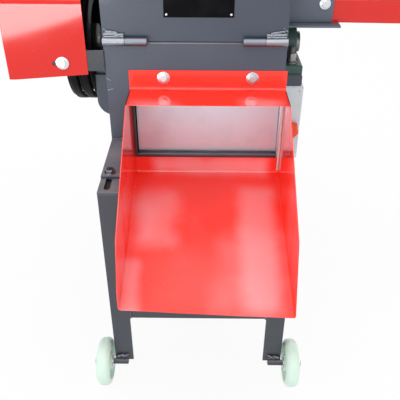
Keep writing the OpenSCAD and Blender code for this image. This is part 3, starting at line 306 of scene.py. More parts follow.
# Name, metal, stain, grain scale, stretch along X and Z, smooth, rough.
METALS = {
    "zinc": ("bright_zinc", (0.70, 0.72, 0.75), (0.50, 0.51, 0.53), 60, (1, 1), 0.20, 0.36),
    # A darker copy of the bright zinc for the moving knuckles and foot bolts: painted shade, which stands for
    # darker reflections.
    "zinc_darkened_shade": ("zinc_darkened_shade", (0.27, 0.285, 0.315), (0.22, 0.23, 0.255), 60, (1, 1), 0.20, 0.36),
    "dull_zinc": ("dull_zinc", (0.19, 0.205, 0.235), (0.15, 0.16, 0.185), 60, (1, 1), 0.26, 0.42),
    "galvanised": ("galvanised_sheet", (0.62, 0.68, 0.76), (0.54, 0.59, 0.66), 26, (1, 1), 0.30, 0.50),
    "bare_steel": ("turned_steel", (0.58, 0.58, 0.59), (0.40, 0.39, 0.37), 18, (26, 1), 0.26, 0.44),
    "dull_steel": ("dull_steel", (0.34, 0.34, 0.35), (0.22, 0.21, 0.20), 40, (1, 1), 0.34, 0.55),
    "tool_steel": ("ground_steel", (0.70, 0.70, 0.71), (0.55, 0.55, 0.55), 20, (1, 22), 0.16, 0.30),
}

# Name, base, dusty, pore scale, smooth, rough, bump, metallic, shine.
SKINS = {
    "dusty_zinc": ("dusty_zinc", (0.66, 0.68, 0.71), (0.56, 0.58, 0.61), 160, 0.35, 0.55, 0.1),
    "weld_metal": ("painted_weld", (0.085, 0.090, 0.105), (0.13, 0.135, 0.15), 300, 0.35, 0.55, 0.5),
    "bright_weld": ("bare_weld", (0.22, 0.235, 0.265), (0.14, 0.15, 0.17), 300, 0.28, 0.46, 0.5, 0.6),
    "bearing_paint": ("green_casting", (0.054, 0.118, 0.104), (0.085, 0.155, 0.139),
        260, 0.34, 0.5, 0.3, 0.0, 0.35),
    "pulley_iron": ("black_casting", (0.008, 0.008, 0.009), (0.018, 0.018, 0.019),
        220, 0.35, 0.55, 0.4, 0.0, 0.14),
    "belt_rubber": ("belt_rubber", (0.004, 0.004, 0.004), (0.010, 0.010, 0.009),
        420, 0.45, 0.65, 0.5, 0.0, 0.1),
    "fan_plastic": ("fan_plastic", (0.020, 0.020, 0.021), (0.05, 0.05, 0.05), 180, 0.4, 0.6),
    "wheel_plastic": ("mint_nylon", (0.70, 0.91, 0.79), (0.62, 0.83, 0.70), 90, 0.28, 0.42, 0.08),
    "plate_black": ("black_plate", (0.003, 0.003, 0.004), (0.006, 0.006, 0.007),
        500, 0.25, 0.38, 0.05, 0.0, 0.05),
    "knob_black": ("black_phenolic", (0.014, 0.014, 0.014), (0.032, 0.032, 0.032), 240, 0.3, 0.45, 0.2),
    "switch_plastic": ("pale_plastic", (0.70, 0.75, 0.79), (0.63, 0.68, 0.72), 320, 0.30, 0.45, 0.08),
    "switch_red": ("red_plastic", (0.92, 0.075, 0.012), (0.84, 0.062, 0.012), 260, 0.25, 0.4, 0.06),
}

finishes = {key: enamel_finish(*row) for key, row in ENAMELS.items()}
finishes.update({key: metal_finish(*row) for key, row in METALS.items()})
finishes.update({key: skin_finish(*row) for key, row in SKINS.items()})
print("finishes", len(finishes))

# %% [markdown]
# ### Painted sheen and dust
# Faces of the slate paint that look up turn paler: partly settled dust, partly painted sheen. In the
# chute, pale pink patches are painted sheen, which stands for reflections of the bright sky: two lanes,
# a corner at the lip, the back of the floor and the riser. A patch is a soft-edged box on Object
# coordinates, so it keeps its place; its border is broken by a slow noise. Both masks are groups that
# are laid over a finished material. The floor of the chute is also scuffed, so it shines less.

# %% Mask groups
# Mask for faces that look up, broken into patches: settled dust together with painted sheen.
dust_and_sheen, dust_and_sheen_in, dust_and_sheen_end = new_group(
    "dust_and_sheen_on_top", {"Amount": 0.3}, {"Mask": "NodeSocketFloat", "Looks Up": "NodeSocketFloat"})
dust_and_sheen_normal = add(dust_and_sheen, "ShaderNodeNewGeometry").outputs["Normal"]
facing = add(dust_and_sheen, "ShaderNodeSeparateXYZ", {"Vector": dust_and_sheen_normal})
looks_up = ramp(dust_and_sheen, facing.outputs["Z"], 0.80, 0.97)
patchy = ramp(dust_and_sheen, noise(dust_and_sheen, object_place(dust_and_sheen), 22, 4), 0.3, 0.7, 0.5, 1.0)
up_patches = math_node(dust_and_sheen, "MULTIPLY", looks_up, patchy)
fill(dust_and_sheen, dust_and_sheen_end, {
    "Mask": math_node(dust_and_sheen, "MULTIPLY", up_patches, dust_and_sheen_in["Amount"]), "Looks Up": looks_up})

# A soft-edged box mask; it places the pale patches of painted sheen in the chute.
sheen_patch, sheen_patch_in, sheen_patch_end = new_group(
    "chute_painted_sheen",
    {"Centre X": 0.0, "Centre Y": 0.0, "Centre Z": 0.0, "Half X": 0.05, "Half Y": 0.05, "Half Z": 0.5,
     "Lean": 0.0, "Edge": 0.02, "Depth": 0.3}, {"Mask": "NodeSocketFloat"})
sheen_patch_where = object_place(sheen_patch)
haze_axes = add(sheen_patch, "ShaderNodeSeparateXYZ", {"Vector": sheen_patch_where})
away = {axis: math_node(sheen_patch, "SUBTRACT", haze_axes.outputs[axis], sheen_patch_in[f"Centre {axis}"])
        for axis in "XYZ"}
leaned = math_node(sheen_patch, "MULTIPLY", away["Y"], sheen_patch_in["Lean"])
away["X"] = math_node(sheen_patch, "SUBTRACT", away["X"], leaned)
wobble = ramp(sheen_patch, noise(sheen_patch, sheen_patch_where, 14, 2), 0.3, 0.7, -0.15, 0.15)
wander = math_node(sheen_patch, "MULTIPLY", wobble, sheen_patch_in["Edge"])
sheen_patch_mask = sheen_patch_in["Depth"]
for axis in "XYZ":
    reach = math_node(sheen_patch, "ADD", sheen_patch_in[f"Half {axis}"], wander)
    inside = math_node(sheen_patch, "SUBTRACT", reach, math_node(sheen_patch, "ABSOLUTE", away[axis]))
    share = math_node(sheen_patch, "DIVIDE", inside, sheen_patch_in["Edge"])
    fade = add(sheen_patch, "ShaderNodeMapRange", {"Value": share, "From Min": -0.5, "From Max": 0.5},
               interpolation_type="SMOOTHSTEP")
    sheen_patch_mask = math_node(sheen_patch, "MULTIPLY", sheen_patch_mask, fade.outputs["Result"])
fill(sheen_patch, sheen_patch_end, {"Mask": sheen_patch_mask})
print("groups", dust_and_sheen.name, sheen_patch.name)

# %% Dust and painted sheen on the frame and housing
# Paler grey on faces that look up: partly settled dust, partly painted sheen.
GREY_DUST_AND_SHEEN = (0.50, 0.53, 0.57, 1)
DUST_AND_SHEEN_AMOUNT = 0.34
DUST_AND_SHEEN_PAINTS = ("frame_paint", "housing_paint", "cover_paint", "bracket_paint")


def lay_over(material, group, values, colour):
    """Mixes one more colour over a finish where a mask group says so."""
    tree = material.node_tree
    shader = tree.nodes["Principled BSDF"]
    below = shader.inputs["Base Color"].links[0].from_socket
    mask = add(tree, "ShaderNodeGroup", values, node_tree=group).outputs["Mask"]
    fill(tree, shader, {"Base Color": mix_colour(tree, mask, below, colour)})


for paint in DUST_AND_SHEEN_PAINTS:
    lay_over(finishes[paint], dust_and_sheen, {"Amount": DUST_AND_SHEEN_AMOUNT}, GREY_DUST_AND_SHEEN)
print("dusty paints", len(DUST_AND_SHEEN_PAINTS))

# %% Painted sheen and scuffing in the chute
# Pale pink of the painted sheen, which stands for reflections of the bright sky in the chute.
SHEEN_PINK = (0.82, 0.76, 0.82, 1)
CHUTE_COAT = 0.22
SCUFF_COAT = 0.05
SCUFF_ROUGH = 0.40
# Heights in metres above which the chute keeps its shine and below which it is scuffed.
SCUFF_NONE = 0.50
SCUFF_FULL = 0.48
# Each patch of painted sheen: centre, half size, lean along the slope, soft edge and depth; lengths in
# millimetres.
PAINTED_SHEENS = [
    ((-84, 64, 0), (40, 68, 900), 0.0, 44, 0.20), ((-97, 50, 0), (17, 50, 900), 0.0, 40, 0.14),
    ((112, 4, 0), (34, 140, 900), 0.02, 36, 0.24), ((98, -60, 0), (54, 84, 900), 0.12, 70, 0.14),
    ((-116, -90, 0), (14, 58, 900), -0.06, 26, 0.24), ((10, -60, 0), (110, 80, 900), 0.0, 140, 0.05),
    ((22, 190, 420), (116, 12, 18), 0.0, 26, 0.34), ((16, 120, 392), (130, 66, 24), 0.0, 50, 0.05),
]
# A lighter copy of the red paint: painted light inside the chute.
chute_red_lit = enamel_finish("red_enamel_chute_lit", CHUTE_RED_LIT, CHUTE_RED_DEEP_LIT, (0.95, 0.50, 0.46),
                          0.12, 0.08, 0.14, CHUTE_COAT, 0.02)
# The painted sheen is laid over the chute's red, one patch at a time.
for centre, half, lean, edge, depth in PAINTED_SHEENS:
    middle = at(*centre)
    sockets = {"Lean": lean, "Edge": edge * MM, "Depth": depth}
    for index, axis in enumerate("XYZ"):
        sockets[f"Centre {axis}"] = middle[index]
        sockets[f"Half {axis}"] = half[index] * MM
    lay_over(chute_red_lit, sheen_patch, sockets, SHEEN_PINK)
chute_tree = chute_red_lit.node_tree
chute_shader = chute_tree.nodes["Principled BSDF"]
chute_up = add(chute_tree, "ShaderNodeGroup", node_tree=dust_and_sheen).outputs["Looks Up"]
chute_height = add(chute_tree, "ShaderNodeSeparateXYZ", {"Vector": object_place(chute_tree)}).outputs["Z"]
low_down = ramp(chute_tree, chute_height, SCUFF_NONE, SCUFF_FULL)
scuffed = math_node(chute_tree, "MULTIPLY", chute_up, low_down)
chute_gloss = chute_shader.inputs["Roughness"].links[0].from_socket
fill(chute_tree, chute_shader, {
    "Roughness": ramp(chute_tree, scuffed, 0.0, 1.0, chute_gloss, SCUFF_ROUGH),
    "Coat Weight": ramp(chute_tree, scuffed, 0.0, 1.0, CHUTE_COAT, SCUFF_COAT)})
finishes["chute_paint"] = chute_red_lit
print("hazes", len(PAINTED_SHEENS))

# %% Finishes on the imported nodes
# Nodes whose finish differs a little from the rest of their slot.
LOOK = {
    "hinge_knuckles_fixed": "dull_zinc", "hinge_knuckles_moving": "zinc_darkened_shade", "foot_bolts": "zinc_darkened_shade",
    "bearing_bolts": "dull_steel", "bearing_rings": "dull_steel", "feed_box": "feed_paint",
    "feed_floor": "feed_paint", "upper_cover": "cover_paint", "guard_brackets": "bracket_paint",
}
look_of = {node: LOOK.get(node, slot) for node, slot in slot_of.items()}
for node, packed in frame["nodes"].items():
    packed.data.materials.clear()
    packed.data.materials.append(finishes[look_of[node]])
print("nodes with a finish", len(look_of))

# %% [markdown]
# ## Floor and light
# The machine stands on a plain white ground under soft light. The floor glows white only for camera
# and mirror rays, so the picture is white while the light on the object stays at a plain level. A
# large lamp hangs above, three stand in front and at the sides, and one stands behind, so that the
# upper faces keep a sheen. A wide lamp that lies on the ground far out at the front left is the bright
# yard that the glossy red panels mirror.

# %% Lamps
MACHINE = (-0.15, 0.0, 0.5)
LAMPS = {
    "sky_lamp": ((-0.2, -0.6, 3.2), MACHINE, 3.2, 36),
    "front_lamp": ((-0.4, -3.0, 2.3), MACHINE, 2.4, 24),
    "side_lamp": ((2.6, -1.4, 1.9), MACHINE, 1.8, 15),
    "left_lamp": ((-2.8, -1.2, 1.9), MACHINE, 1.8, 18),
    "back_lamp": ((-0.2, 2.8, 2.4), MACHINE, 2.6, 30),
    "yard_lamp": ((-2.71, -3.46, 0.05), (-2.71, -3.46, 1.0), 4.0, 370),
}
for lamp_name, (place, target, size, watts) in LAMPS.items():
    lamp = bpy.data.lights.new(lamp_name, "AREA")
    lamp.shape = "DISK"
    lamp.size = size
    lamp.energy = watts
    lamp_object = bpy.data.objects.new(lamp_name, lamp)
    bpy.context.scene.collection.objects.link(lamp_object)
    lamp_object.location = place
    aim = Vector(target) - Vector(place)
    lamp_object.rotation_euler = aim.to_track_quat("-Z", "Y").to_euler()
print("lamps", list(LAMPS))

# %% World and ground
WORLD_LEVEL = 0.58
FLOOR_SIZE = 14.0
GROUND_GLOW = 0.92


def seen_rays(tree):
    """1 for rays that show the background itself: camera, mirror and glass rays."""
    path = add(tree, "ShaderNodeLightPath")
    shown = math_node(tree, "MAXIMUM", path.outputs["Is Camera Ray"], path.outputs["Is Glossy Ray"])
    return math_node(tree, "MAXIMUM", shown, path.outputs["Is Transmission Ray"])


world = bpy.data.worlds.new("open_yard")
bpy.context.scene.world = world
world.use_nodes = True
world_tree = world.node_tree
fill(world_tree, world_tree.nodes["Background"], {
    "Color": (1, 1, 1, 1), "Strength": ramp(world_tree, seen_rays(world_tree), 0, 1, WORLD_LEVEL, 1.0)})

bpy.ops.object.select_all(action="DESELECT")
bpy.ops.mesh.primitive_plane_add(size=FLOOR_SIZE, location=(0, 0, 0))
floor = bpy.context.object
floor.name = "studio_floor"
floor_material = bpy.data.materials.new("white_ground")
floor_material.use_nodes = True
ground = floor_material.node_tree
ground_matt = ground.nodes["Principled BSDF"]
fill(ground, ground_matt, {"Base Color": (0.86, 0.86, 0.86, 1), "Roughness": 0.7})
ground_glow = add(ground, "ShaderNodeEmission", {"Color": (1, 1, 1, 1), "Strength": 1.0})
glow_share = ramp(ground, seen_rays(ground), 0, 1, 0.0, GROUND_GLOW)
ground_mix = add(ground, "ShaderNodeMixShader", {
    0: glow_share, 1: ground_matt.outputs[0], 2: ground_glow.outputs[0]})
fill(ground, ground.nodes["Material Output"], {"Surface": ground_mix.outputs[0]})
floor.data.materials.append(floor_material)
print("ground", FLOOR_SIZE, "m wide")

# %% [markdown]
# ## Helpers for modelling
# Operators act on what is selected, so every step starts from an empty selection. `settle` gives a
# finished piece its name, body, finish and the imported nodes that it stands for, and `finished` does the
# same for a piece that is joined from several shapes. What repeats is modelled once and copied.

# %% Modelling helpers
NEAR = 0.01 * MM
HAIR = 0.001 * MM


def only(piece):
    bpy.ops.object.select_all(action="DESELECT")
    piece.select_set(True)
    bpy.context.view_layer.objects.active = piece


def primitive(kind, **sizes):
    """Adds one primitive through its operator and returns it."""
    bpy.ops.object.select_all(action="DESELECT")
    getattr(bpy.ops.mesh, f"primitive_{kind}_add")(**sizes)
    return bpy.context.object


def freeze(piece):
    """Moves an object's place and turn into its mesh."""
    only(piece)
    bpy.ops.object.transform_apply(location=True, rotation=True, scale=True)


def modify(piece, kind, **settings):
    """Adds one modifier, sets it and applies it."""
    only(piece)
    modifier = piece.modifiers.new(kind.lower(), kind)
    for key, value in settings.items():
        setattr(modifier, key, value)
    bpy.ops.object.modifier_apply(modifier=modifier.name)


def pick(piece, edges=None, faces=None):
    """Selects edges or faces of a mesh by a test on their corner points, and enters edit mode."""
    only(piece)
    mesh = piece.data
    points = [v.co for v in mesh.vertices]
    for group in (mesh.vertices, mesh.edges, mesh.polygons):
        group.foreach_set("select", [False] * len(group))
    kind = "EDGE" if edges else "FACE"
    for item in (mesh.edges if edges else mesh.polygons):
        item.select = (edges or faces)([points[i] for i in item.vertices])
    bpy.ops.object.mode_set(mode="EDIT")
    bpy.ops.mesh.select_mode(type=kind)


def done():
    bpy.ops.object.mode_set(mode="OBJECT")


def whole(piece):
    """Enters edit mode with everything selected."""
    only(piece)
    bpy.ops.object.mode_set(mode="EDIT")
    bpy.ops.mesh.select_mode(type="VERT")
    bpy.ops.mesh.select_all(action="SELECT")


def joined(name, pieces):
    """Joins finished pieces into one object."""
    only(pieces[0])
    for piece in pieces:
        piece.select_set(True)
    if len(pieces) > 1:
        bpy.ops.object.join()
    bpy.context.object.name = name
    return bpy.context.object


def smooth(piece, angle=35):
    only(piece)
    bpy.ops.object.shade_smooth_by_angle(angle=math.radians(angle))


def settle(piece, name, body, materials=None, stands_for=()):
    piece.name = name
    piece.data.name = name
    if materials is not None:
        piece.data.materials.clear()
        for material in materials:
            piece.data.materials.append(finishes[material])
    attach(piece, body)
    if stands_for:
        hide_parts(*stands_for)
    return piece


def finished(name, shapes, body, materials=None, stands_for=(), angle=35):
    """Joins shapes into one smooth piece and settles it."""
    piece = joined(name, shapes)
    smooth(piece, angle)
    settle(piece, name, body, materials, stands_for)
    print(name, len(piece.data.polygons), "faces")


def discard(piece):
    bpy.data.objects.remove(piece)


def copies(pattern, matrices):
    """Copies of a pattern, each with its own mesh, moved by a matrix; the pattern itself goes."""
    twins = []
    for matrix in matrices:
        twin = pattern.copy()
        twin.data = pattern.data.copy()
        twin.data.transform(matrix)
        bpy.context.scene.collection.objects.link(twin)
        twins.append(twin)
    discard(pattern)
    return twins


def spun(axis, degrees):
    return Matrix.Rotation(math.radians(degrees), 4, axis)


def break_edges(piece, width, segments=2):
    """Bevels every sharp edge of a small shape."""
    modify(piece, "BEVEL", width=width, segments=segments, limit_method="ANGLE",
           angle_limit=math.radians(40))


def block_shape(low, high):
    """A plain box between two corners."""
    shape = primitive("cube", size=1, location=(low + high) / 2)
    shape.scale = high - low
    freeze(shape)
    return shape


print("modelling helpers ready")

# %% [markdown]
# ## Rolled and broken edges
# No edge on a real machine is a knife edge: rolled angle has round toes, sheared sheet has a small
# burr, and castings are blended all over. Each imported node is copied, its loose triangles are merged
# into flat faces, and a bevel rounds every sharp edge, so that the edge catches a thin line of light.

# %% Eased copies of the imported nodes
EDGE_ANGLE = math.radians(38)
FLAT_ANGLE = math.radians(0.4)


def eased(node, radius, segments, clamped=True):
    """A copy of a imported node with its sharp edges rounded, which stands for the node."""
    piece = bpy.data.objects.new(node, frame["nodes"][node].data.copy())
    bpy.context.scene.collection.objects.link(piece)
    whole(piece)
    bpy.ops.mesh.remove_doubles(threshold=NEAR)
    bpy.ops.mesh.dissolve_limited(angle_limit=FLAT_ANGLE)
    done()
    modify(piece, "BEVEL", width=radius * MM, segments=segments, limit_method="ANGLE",
           angle_limit=EDGE_ANGLE, use_clamp_overlap=clamped)
    smooth(piece)
    modify(piece, "WEIGHTED_NORMAL", keep_sharp=True)
    return settle(piece, node + "_eased", body_of[node], [look_of[node]], [node])


# Radius in millimetres and segments of the bevel, and the nodes that take it.
EASED = {
    (0.3, 1): ["knives", "counter_knife"],
    (0.3, 2): ["nameplate"],
    (0.4, 1): ["discharge_flap"],
    (0.5, 2): ["housing_front", "belt_guard", "feed_tray", "axle_washers"],
    (0.6, 2): ["housing_left", "housing_right", "hinge_pins", "motor_fan_cover"],
    (0.7, 2): ["upper_cover", "hinge_knuckles_fixed", "hinge_knuckles_moving", "motor_body"],
    (0.8, 2): ["feed_floor", "feed_box", "rotor_pulley", "motor_pulley"],
    (0.9, 2): ["guard_brackets"],
    (0.9, 3): ["rail_upper_left"],
    (1.0, 2): ["rear_feet", "motor_plate", "bearing_bracket_left", "bearing_bracket_right", "wheel_left",
               "wheel_right", "wheel_axles"],
    (1.2, 2): ["rotor_shaft"],
    (1.2, 3): ["leg_front_left", "leg_front_right", "leg_rear_left", "leg_rear_right", "post_left",
               "rail_lower_left", "rail_right", "crossbars", "switch_cover"],
    (2.0, 3): ["cover_knob"],
    (3.0, 3): ["motor_end_shields"],
    (4.0, 3): ["motor_terminal_box"],
    (4.0, 4): ["switch_box"],
}
eased_pieces = [eased(node, *bevel) for bevel, nodes in EASED.items() for node in nodes]
# The belts get round backs, so their bevels may meet.
eased_pieces.append(eased("v_belts", 4.8, 6, clamped=False))
print("eased", len(eased_pieces), "nodes")

# %% [markdown]
# ## The discharge chute
# The chute is folded from thin sheet: a sloping floor turns up into two side walls and a short riser
# at the back, and a roof strip turns up into the flange that is bolted to the housing. A folded sheet
# keeps a small radius at each bend and is never quite flat. So the floor starts as a fine grid, its
# side edges are extruded upwards in steps, planes trim the walls to their outline and cut the lip,
# which is a little askew, the bends are bevelled, a slow noise buckles the floor by about a
# millimetre, and Solidify gives the thickness.

# %% Chute sizes
chute_low, chute_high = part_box("discharge_chute")
CHUTE_SHEET = 1.5 * MM
FLANGE_HEIGHT = 37.5 * MM
ROOF_LENGTH = 74 * MM
RISER_HEIGHT = 34.5 * MM
LIP_SKEW = (7.4 * MM, -4.5 * MM)
FLOOR_FALL = 81 * MM
WALL_CORNER = Vector((0, chute_high.y - 291 * MM, 445 * MM))
BEND_RADIUS = 3.5 * MM
WALL_STEP = 13 * MM
LIP_SPARE = 6 * MM
roof_z = chute_high.z - FLANGE_HEIGHT
lip = Vector((0, chute_low.y, chute_low.z + CHUTE_SHEET))
back = Vector((0, chute_high.y - CHUTE_SHEET, lip.z + FLOOR_FALL))
roof_front = Vector((0, chute_high.y - ROOF_LENGTH, roof_z))
inner_x = (chute_low.x + CHUTE_SHEET, chute_high.x - CHUTE_SHEET)
front = lip + (lip - back).normalized() * LIP_SPARE
lip_left = Vector((inner_x[0], lip.y + LIP_SKEW[0], 0))
lip_right = Vector((inner_x[1], lip.y + LIP_SKEW[1], 0))
print("chute floor", round((back - lip).length, 4), "m long")

# %% Chute floor, walls and riser


def floor_height(y):
    return lip.z + (y - lip.y) / (back.y - lip.y) * (back.z - lip.z)


def on_floor(p):
    return abs(p.z - floor_height(p.y)) < NEAR


def at_back(p):
    return abs(p.y - back.y) < NEAR


def on_bend(ends):
    """True for an edge of the floor that lies along a side wall or along the riser."""
    if not all(on_floor(p) for p in ends):
        return False
    sides = [all(abs(p.x - side) < NEAR for p in ends) for side in inner_x]
    return any(sides) or all(at_back(p) for p in ends)


def trim(piece, point, normal):
    """Cuts away what lies beyond a plane."""
    whole(piece)
    bpy.ops.mesh.bisect(plane_co=point, plane_no=normal, clear_outer=True, threshold=HAIR)
    done()


def extrude(steps, move):
    """Extrudes the selected edges in equal steps and leaves edit mode."""
    for step in range(steps):
        bpy.ops.mesh.extrude_edges_move(TRANSFORM_OT_translate={"value": move})
    done()


def fold(piece, bends, radius, segments):
    """Rounds the edges that a test picks."""
    pick(piece, edges=bends)
    bpy.ops.mesh.bevel(offset=radius, segments=segments, affect="EDGES")
    done()


tray = primitive("grid", x_subdivisions=30, y_subdivisions=34, size=1)
tray.scale = (inner_x[1] - inner_x[0], (back - front).length, 1)
tray.rotation_euler.x = math.atan2(back.z - front.z, back.y - front.y)
tray.location = (sum(inner_x) / 2, (back.y + front.y) / 2, (back.z + front.z) / 2)
freeze(tray)
for side in inner_x:
    pick(tray, edges=lambda ends: all(abs(p.x - side) < NEAR and on_floor(p) for p in ends))
    extrude(math.ceil((roof_z - lip.z) / WALL_STEP), (0, 0, WALL_STEP))
roof_line = (Vector((0, 1, roof_z)), Vector((0, -1, roof_z)))
for start, end in (roof_line, (roof_front, WALL_CORNER), (WALL_CORNER, front)):
    along = end - start
    trim(tray, start, (0, along.z, -along.y))
lip_run = lip_right - lip_left
trim(tray, lip_left, (lip_run.y, -lip_run.x, 0))
pick(tray, edges=lambda ends: all(at_back(p) and on_floor(p) for p in ends))
extrude(2, (0, 0, RISER_HEIGHT / 2))
fold(tray, on_bend, BEND_RADIUS, 4)
print("chute sheet", len(tray.data.polygons), "faces")

# %% Buckle and thickness
BUCKLE = 3.0 * MM
BUCKLE_SCALE = 110 * MM
STIFF_BAND = 45 * MM
buckle_map = bpy.data.textures.new("sheet_buckle", "CLOUDS")
buckle_map.noise_scale = BUCKLE_SCALE
buckle_map.noise_depth = 1


def free_share(p):
    """How freely a point of the floor can buckle: 0 at a bend, 1 away from all of them."""
    if abs(p.z - floor_height(p.y)) > 1 * MM:
        return 0
    reach = min(p.x - inner_x[0], inner_x[1] - p.x, back.y - p.y)
    return max(0, min(1, reach / STIFF_BAND))


def thicken(piece):
    """Gives a surface the thickness of the sheet."""
    modify(piece, "SOLIDIFY", thickness=CHUTE_SHEET, offset=-1, use_even_offset=True)


loose = tray.vertex_groups.new(name="loose")
for vertex in tray.data.vertices:
    loose.add([vertex.index], free_share(vertex.co), "REPLACE")
modify(tray, "DISPLACE", texture=buckle_map, texture_coords="LOCAL", strength=BUCKLE, mid_level=0.5,
       vertex_group="loose")
thicken(tray)
print("chute body", len(tray.data.polygons), "faces")

# %% Roof strip and bolted flange
FLANGE_BEND = 5 * MM
ROOF_STEPS = 5


def at_roof(p):
    return abs(p.z - roof_z) < NEAR


flange = primitive("grid", x_subdivisions=30, y_subdivisions=4, size=1)
flange.scale = (chute_high.x - chute_low.x, FLANGE_HEIGHT, 1)
flange.rotation_euler.x = math.radians(90)
flange.location = ((chute_low.x + chute_high.x) / 2, back.y, roof_z + FLANGE_HEIGHT / 2)
freeze(flange)
pick(flange, edges=lambda ends: all(at_roof(p) for p in ends))
extrude(ROOF_STEPS, (0, (roof_front.y - back.y) / ROOF_STEPS, 0))
fold(flange, lambda ends: all(at_roof(p) and at_back(p) for p in ends), FLANGE_BEND, 5)
thicken(flange)
finished("discharge_chute_sheet", [tray, flange], body_of["discharge_chute"],
         ["chute_paint"], ["discharge_chute"], 50)

# %% [markdown]
# ## Hexagon bolts
# A hexagon head is a six-sided cylinder whose top corners are turned off on a lathe, so it is cut
# with a cone. The washer is a thin disc with a broken edge. Behind the sheet a nut sits on the
# threaded end. One bolt is modelled for each size and grip and copied to its places.

# %% Bolt model
WASHER_T = 2 * MM
THREAD_PITCH = 1.25 * MM
THREAD_DEPTH = 0.7 * MM
CHAMFER_TOP = 0.94
CHAMFER_SLOPE = 1.73
# Width over flats, height of head and nut, and length of rod past the grip, as shares of the bolt size.
HEX_WIDTH = 1.62
HEAD_HEIGHT = 0.62
NUT_HEIGHT = 0.7
ROD_END = 0.9


def hexagon(width, height, base):
    """A hexagon of the given width over flats, with its upper corners turned off."""
    corner = width / 2 / math.cos(math.radians(30))
    block = primitive("cylinder", vertices=6, radius=corner, depth=height, location=(0, 0, base + height / 2))
    drop = 0.5 * corner
    top_radius = CHAMFER_TOP * width / 2
    cone = primitive("cone", vertices=64, radius1=top_radius + (height + drop) * CHAMFER_SLOPE,
                     radius2=top_radius, depth=height + drop, location=(0, 0, base + (height - drop) / 2))
    freeze(block)
    freeze(cone)
    modify(block, "BOOLEAN", operation="INTERSECT", object=cone, solver="EXACT")
    discard(cone)
    break_edges(block, 0.2 * MM, 1)
    return block


def disc(radius, height, base, ease=0.4 * MM):
    plate = primitive("cylinder", vertices=48, radius=radius, depth=height,
                      location=(0, 0, base + height / 2))
    freeze(plate)
    break_edges(plate, ease)
    return plate


def thread(radius, low, high):
    """A threaded rod as a stack of ridged rings, one for each turn."""
    turns = max(1, round((high - low) / THREAD_PITCH))
    root = radius - THREAD_DEPTH
    ring = primitive("cylinder", vertices=32, radius=root, depth=THREAD_PITCH, end_fill_type="NOTHING",
                     location=(0, 0, low + THREAD_PITCH / 2))
    freeze(ring)
    whole(ring)
    bpy.ops.mesh.subdivide(number_cuts=1)
    done()
    middle = low + THREAD_PITCH / 2
    pick(ring, edges=lambda ends: all(abs(p.z - middle) < HAIR for p in ends))
    bpy.ops.transform.resize(value=(radius / root, radius / root, 1))
    done()
    modify(ring, "ARRAY", count=turns, use_relative_offset=False, use_constant_offset=True,
           constant_offset_displace=(0, 0, THREAD_PITCH), use_merge_vertices=True)
    whole(ring)
    bpy.ops.mesh.select_all(action="DESELECT")
    bpy.ops.mesh.select_non_manifold()
    bpy.ops.mesh.edge_face_add()
    done()
    return ring


def hex_bolt(size, washer, grip):
    """A bolt along Z, sizes in millimetres: the washer lies on z = 0, the nut closes the grip below it."""
    d = size * MM
    head = hexagon(HEX_WIDTH * d, HEAD_HEIGHT * d, WASHER_T)
    plate = disc(washer / 2 * MM, WASHER_T, 0)
    nut = hexagon(HEX_WIDTH * d, NUT_HEIGHT * d, -grip * MM - NUT_HEIGHT * d)
    rod = thread(d / 2, -grip * MM - ROD_END * d, 0)
    return joined("bolt_pattern", [head, plate, nut, rod])


def fastened(name, node, bolts):
    """Bolts that stand for a node: size, washer and grip of a kind, then point, tilt and twist of each."""
    pieces = []
    for kind, places in bolts.items():
        pieces += copies(hex_bolt(*kind), [
            Matrix.Translation(place) @ spun("X", tilt) @ spun("Z", twist) for place, tilt, twist in places])
    finished(name, pieces, body_of[node], [look_of[node]], [node], 30)


print("bolt model ready")

# %% Bolts in their places
guard_low, guard_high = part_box("belt_guard")
feed_low, feed_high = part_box("feed_box")
CHUTE_BOLT_OUT = 83.5 * MM
chute_mid = (chute_low.x + chute_high.x) / 2
chute_bolt_z = chute_high.z - 14 * MM
guard_bolt_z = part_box("guard_brackets")[1].z - 22 * MM
feed_bolt_x = feed_high.x - 17 * MM
feed_bolt_z = feed_low.z + 36 * MM
fastened("panel_bolt_set", "panel_bolts", {
    (8, 24, 4.5): [(Vector((chute_mid - CHUTE_BOLT_OUT, back.y, chute_bolt_z)), 90, 12),
                   (Vector((chute_mid + CHUTE_BOLT_OUT, back.y, chute_bolt_z)), 90, 41)],
    (8, 24, 7.5): [(Vector((guard_high.x - 45.5 * MM, guard_low.y, guard_bolt_z)), 90, 25),
                   (Vector((guard_high.x - 27 * MM, guard_high.y, guard_low.z + 35 * MM)), -90, 8)],
    (8, 21, 4.8): [(Vector((feed_bolt_x, feed_low.y, feed_bolt_z)), 90, 50),
                   (Vector((feed_bolt_x, feed_high.y, feed_bolt_z)), -90, 17)],
})
fastened("foot_bolt_set", "foot_bolts", {
    (9, 21, 9): [(at(-160.5, 61, 478), 0, 20), (at(-160.5, 438, 478), 0, 5)],
    (8, 15, 9): [(at(147.5, 230, 315), 0, 33), (at(147.5, 440, 315), 0, 12)],
})


def four_corners(low, high, axes, insets):
    """The four points on two axes that lie inside the edges of a box, each axis with its inset."""
    rows, columns = [(low[axis] + inset, high[axis] - inset) for axis, inset in zip(axes, insets)]
    return [(row, column) for row in rows for column in columns]


MOTOR_BOLT = 8
MOTOR_WASHER = 17.6
motor_low, motor_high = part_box("motor_bolts")
motor_base_top = motor_high.z - WASHER_T - HEAD_HEIGHT * MOTOR_BOLT * MM
motor_points = four_corners(motor_low, motor_high, (0, 1), [MOTOR_WASHER / 2 * MM] * 2)
fastened("motor_bolt_set", "motor_bolts", {
    (MOTOR_BOLT, MOTOR_WASHER, 16): [(Vector((x, y, motor_base_top)), 0, 15) for x, y in motor_points]})

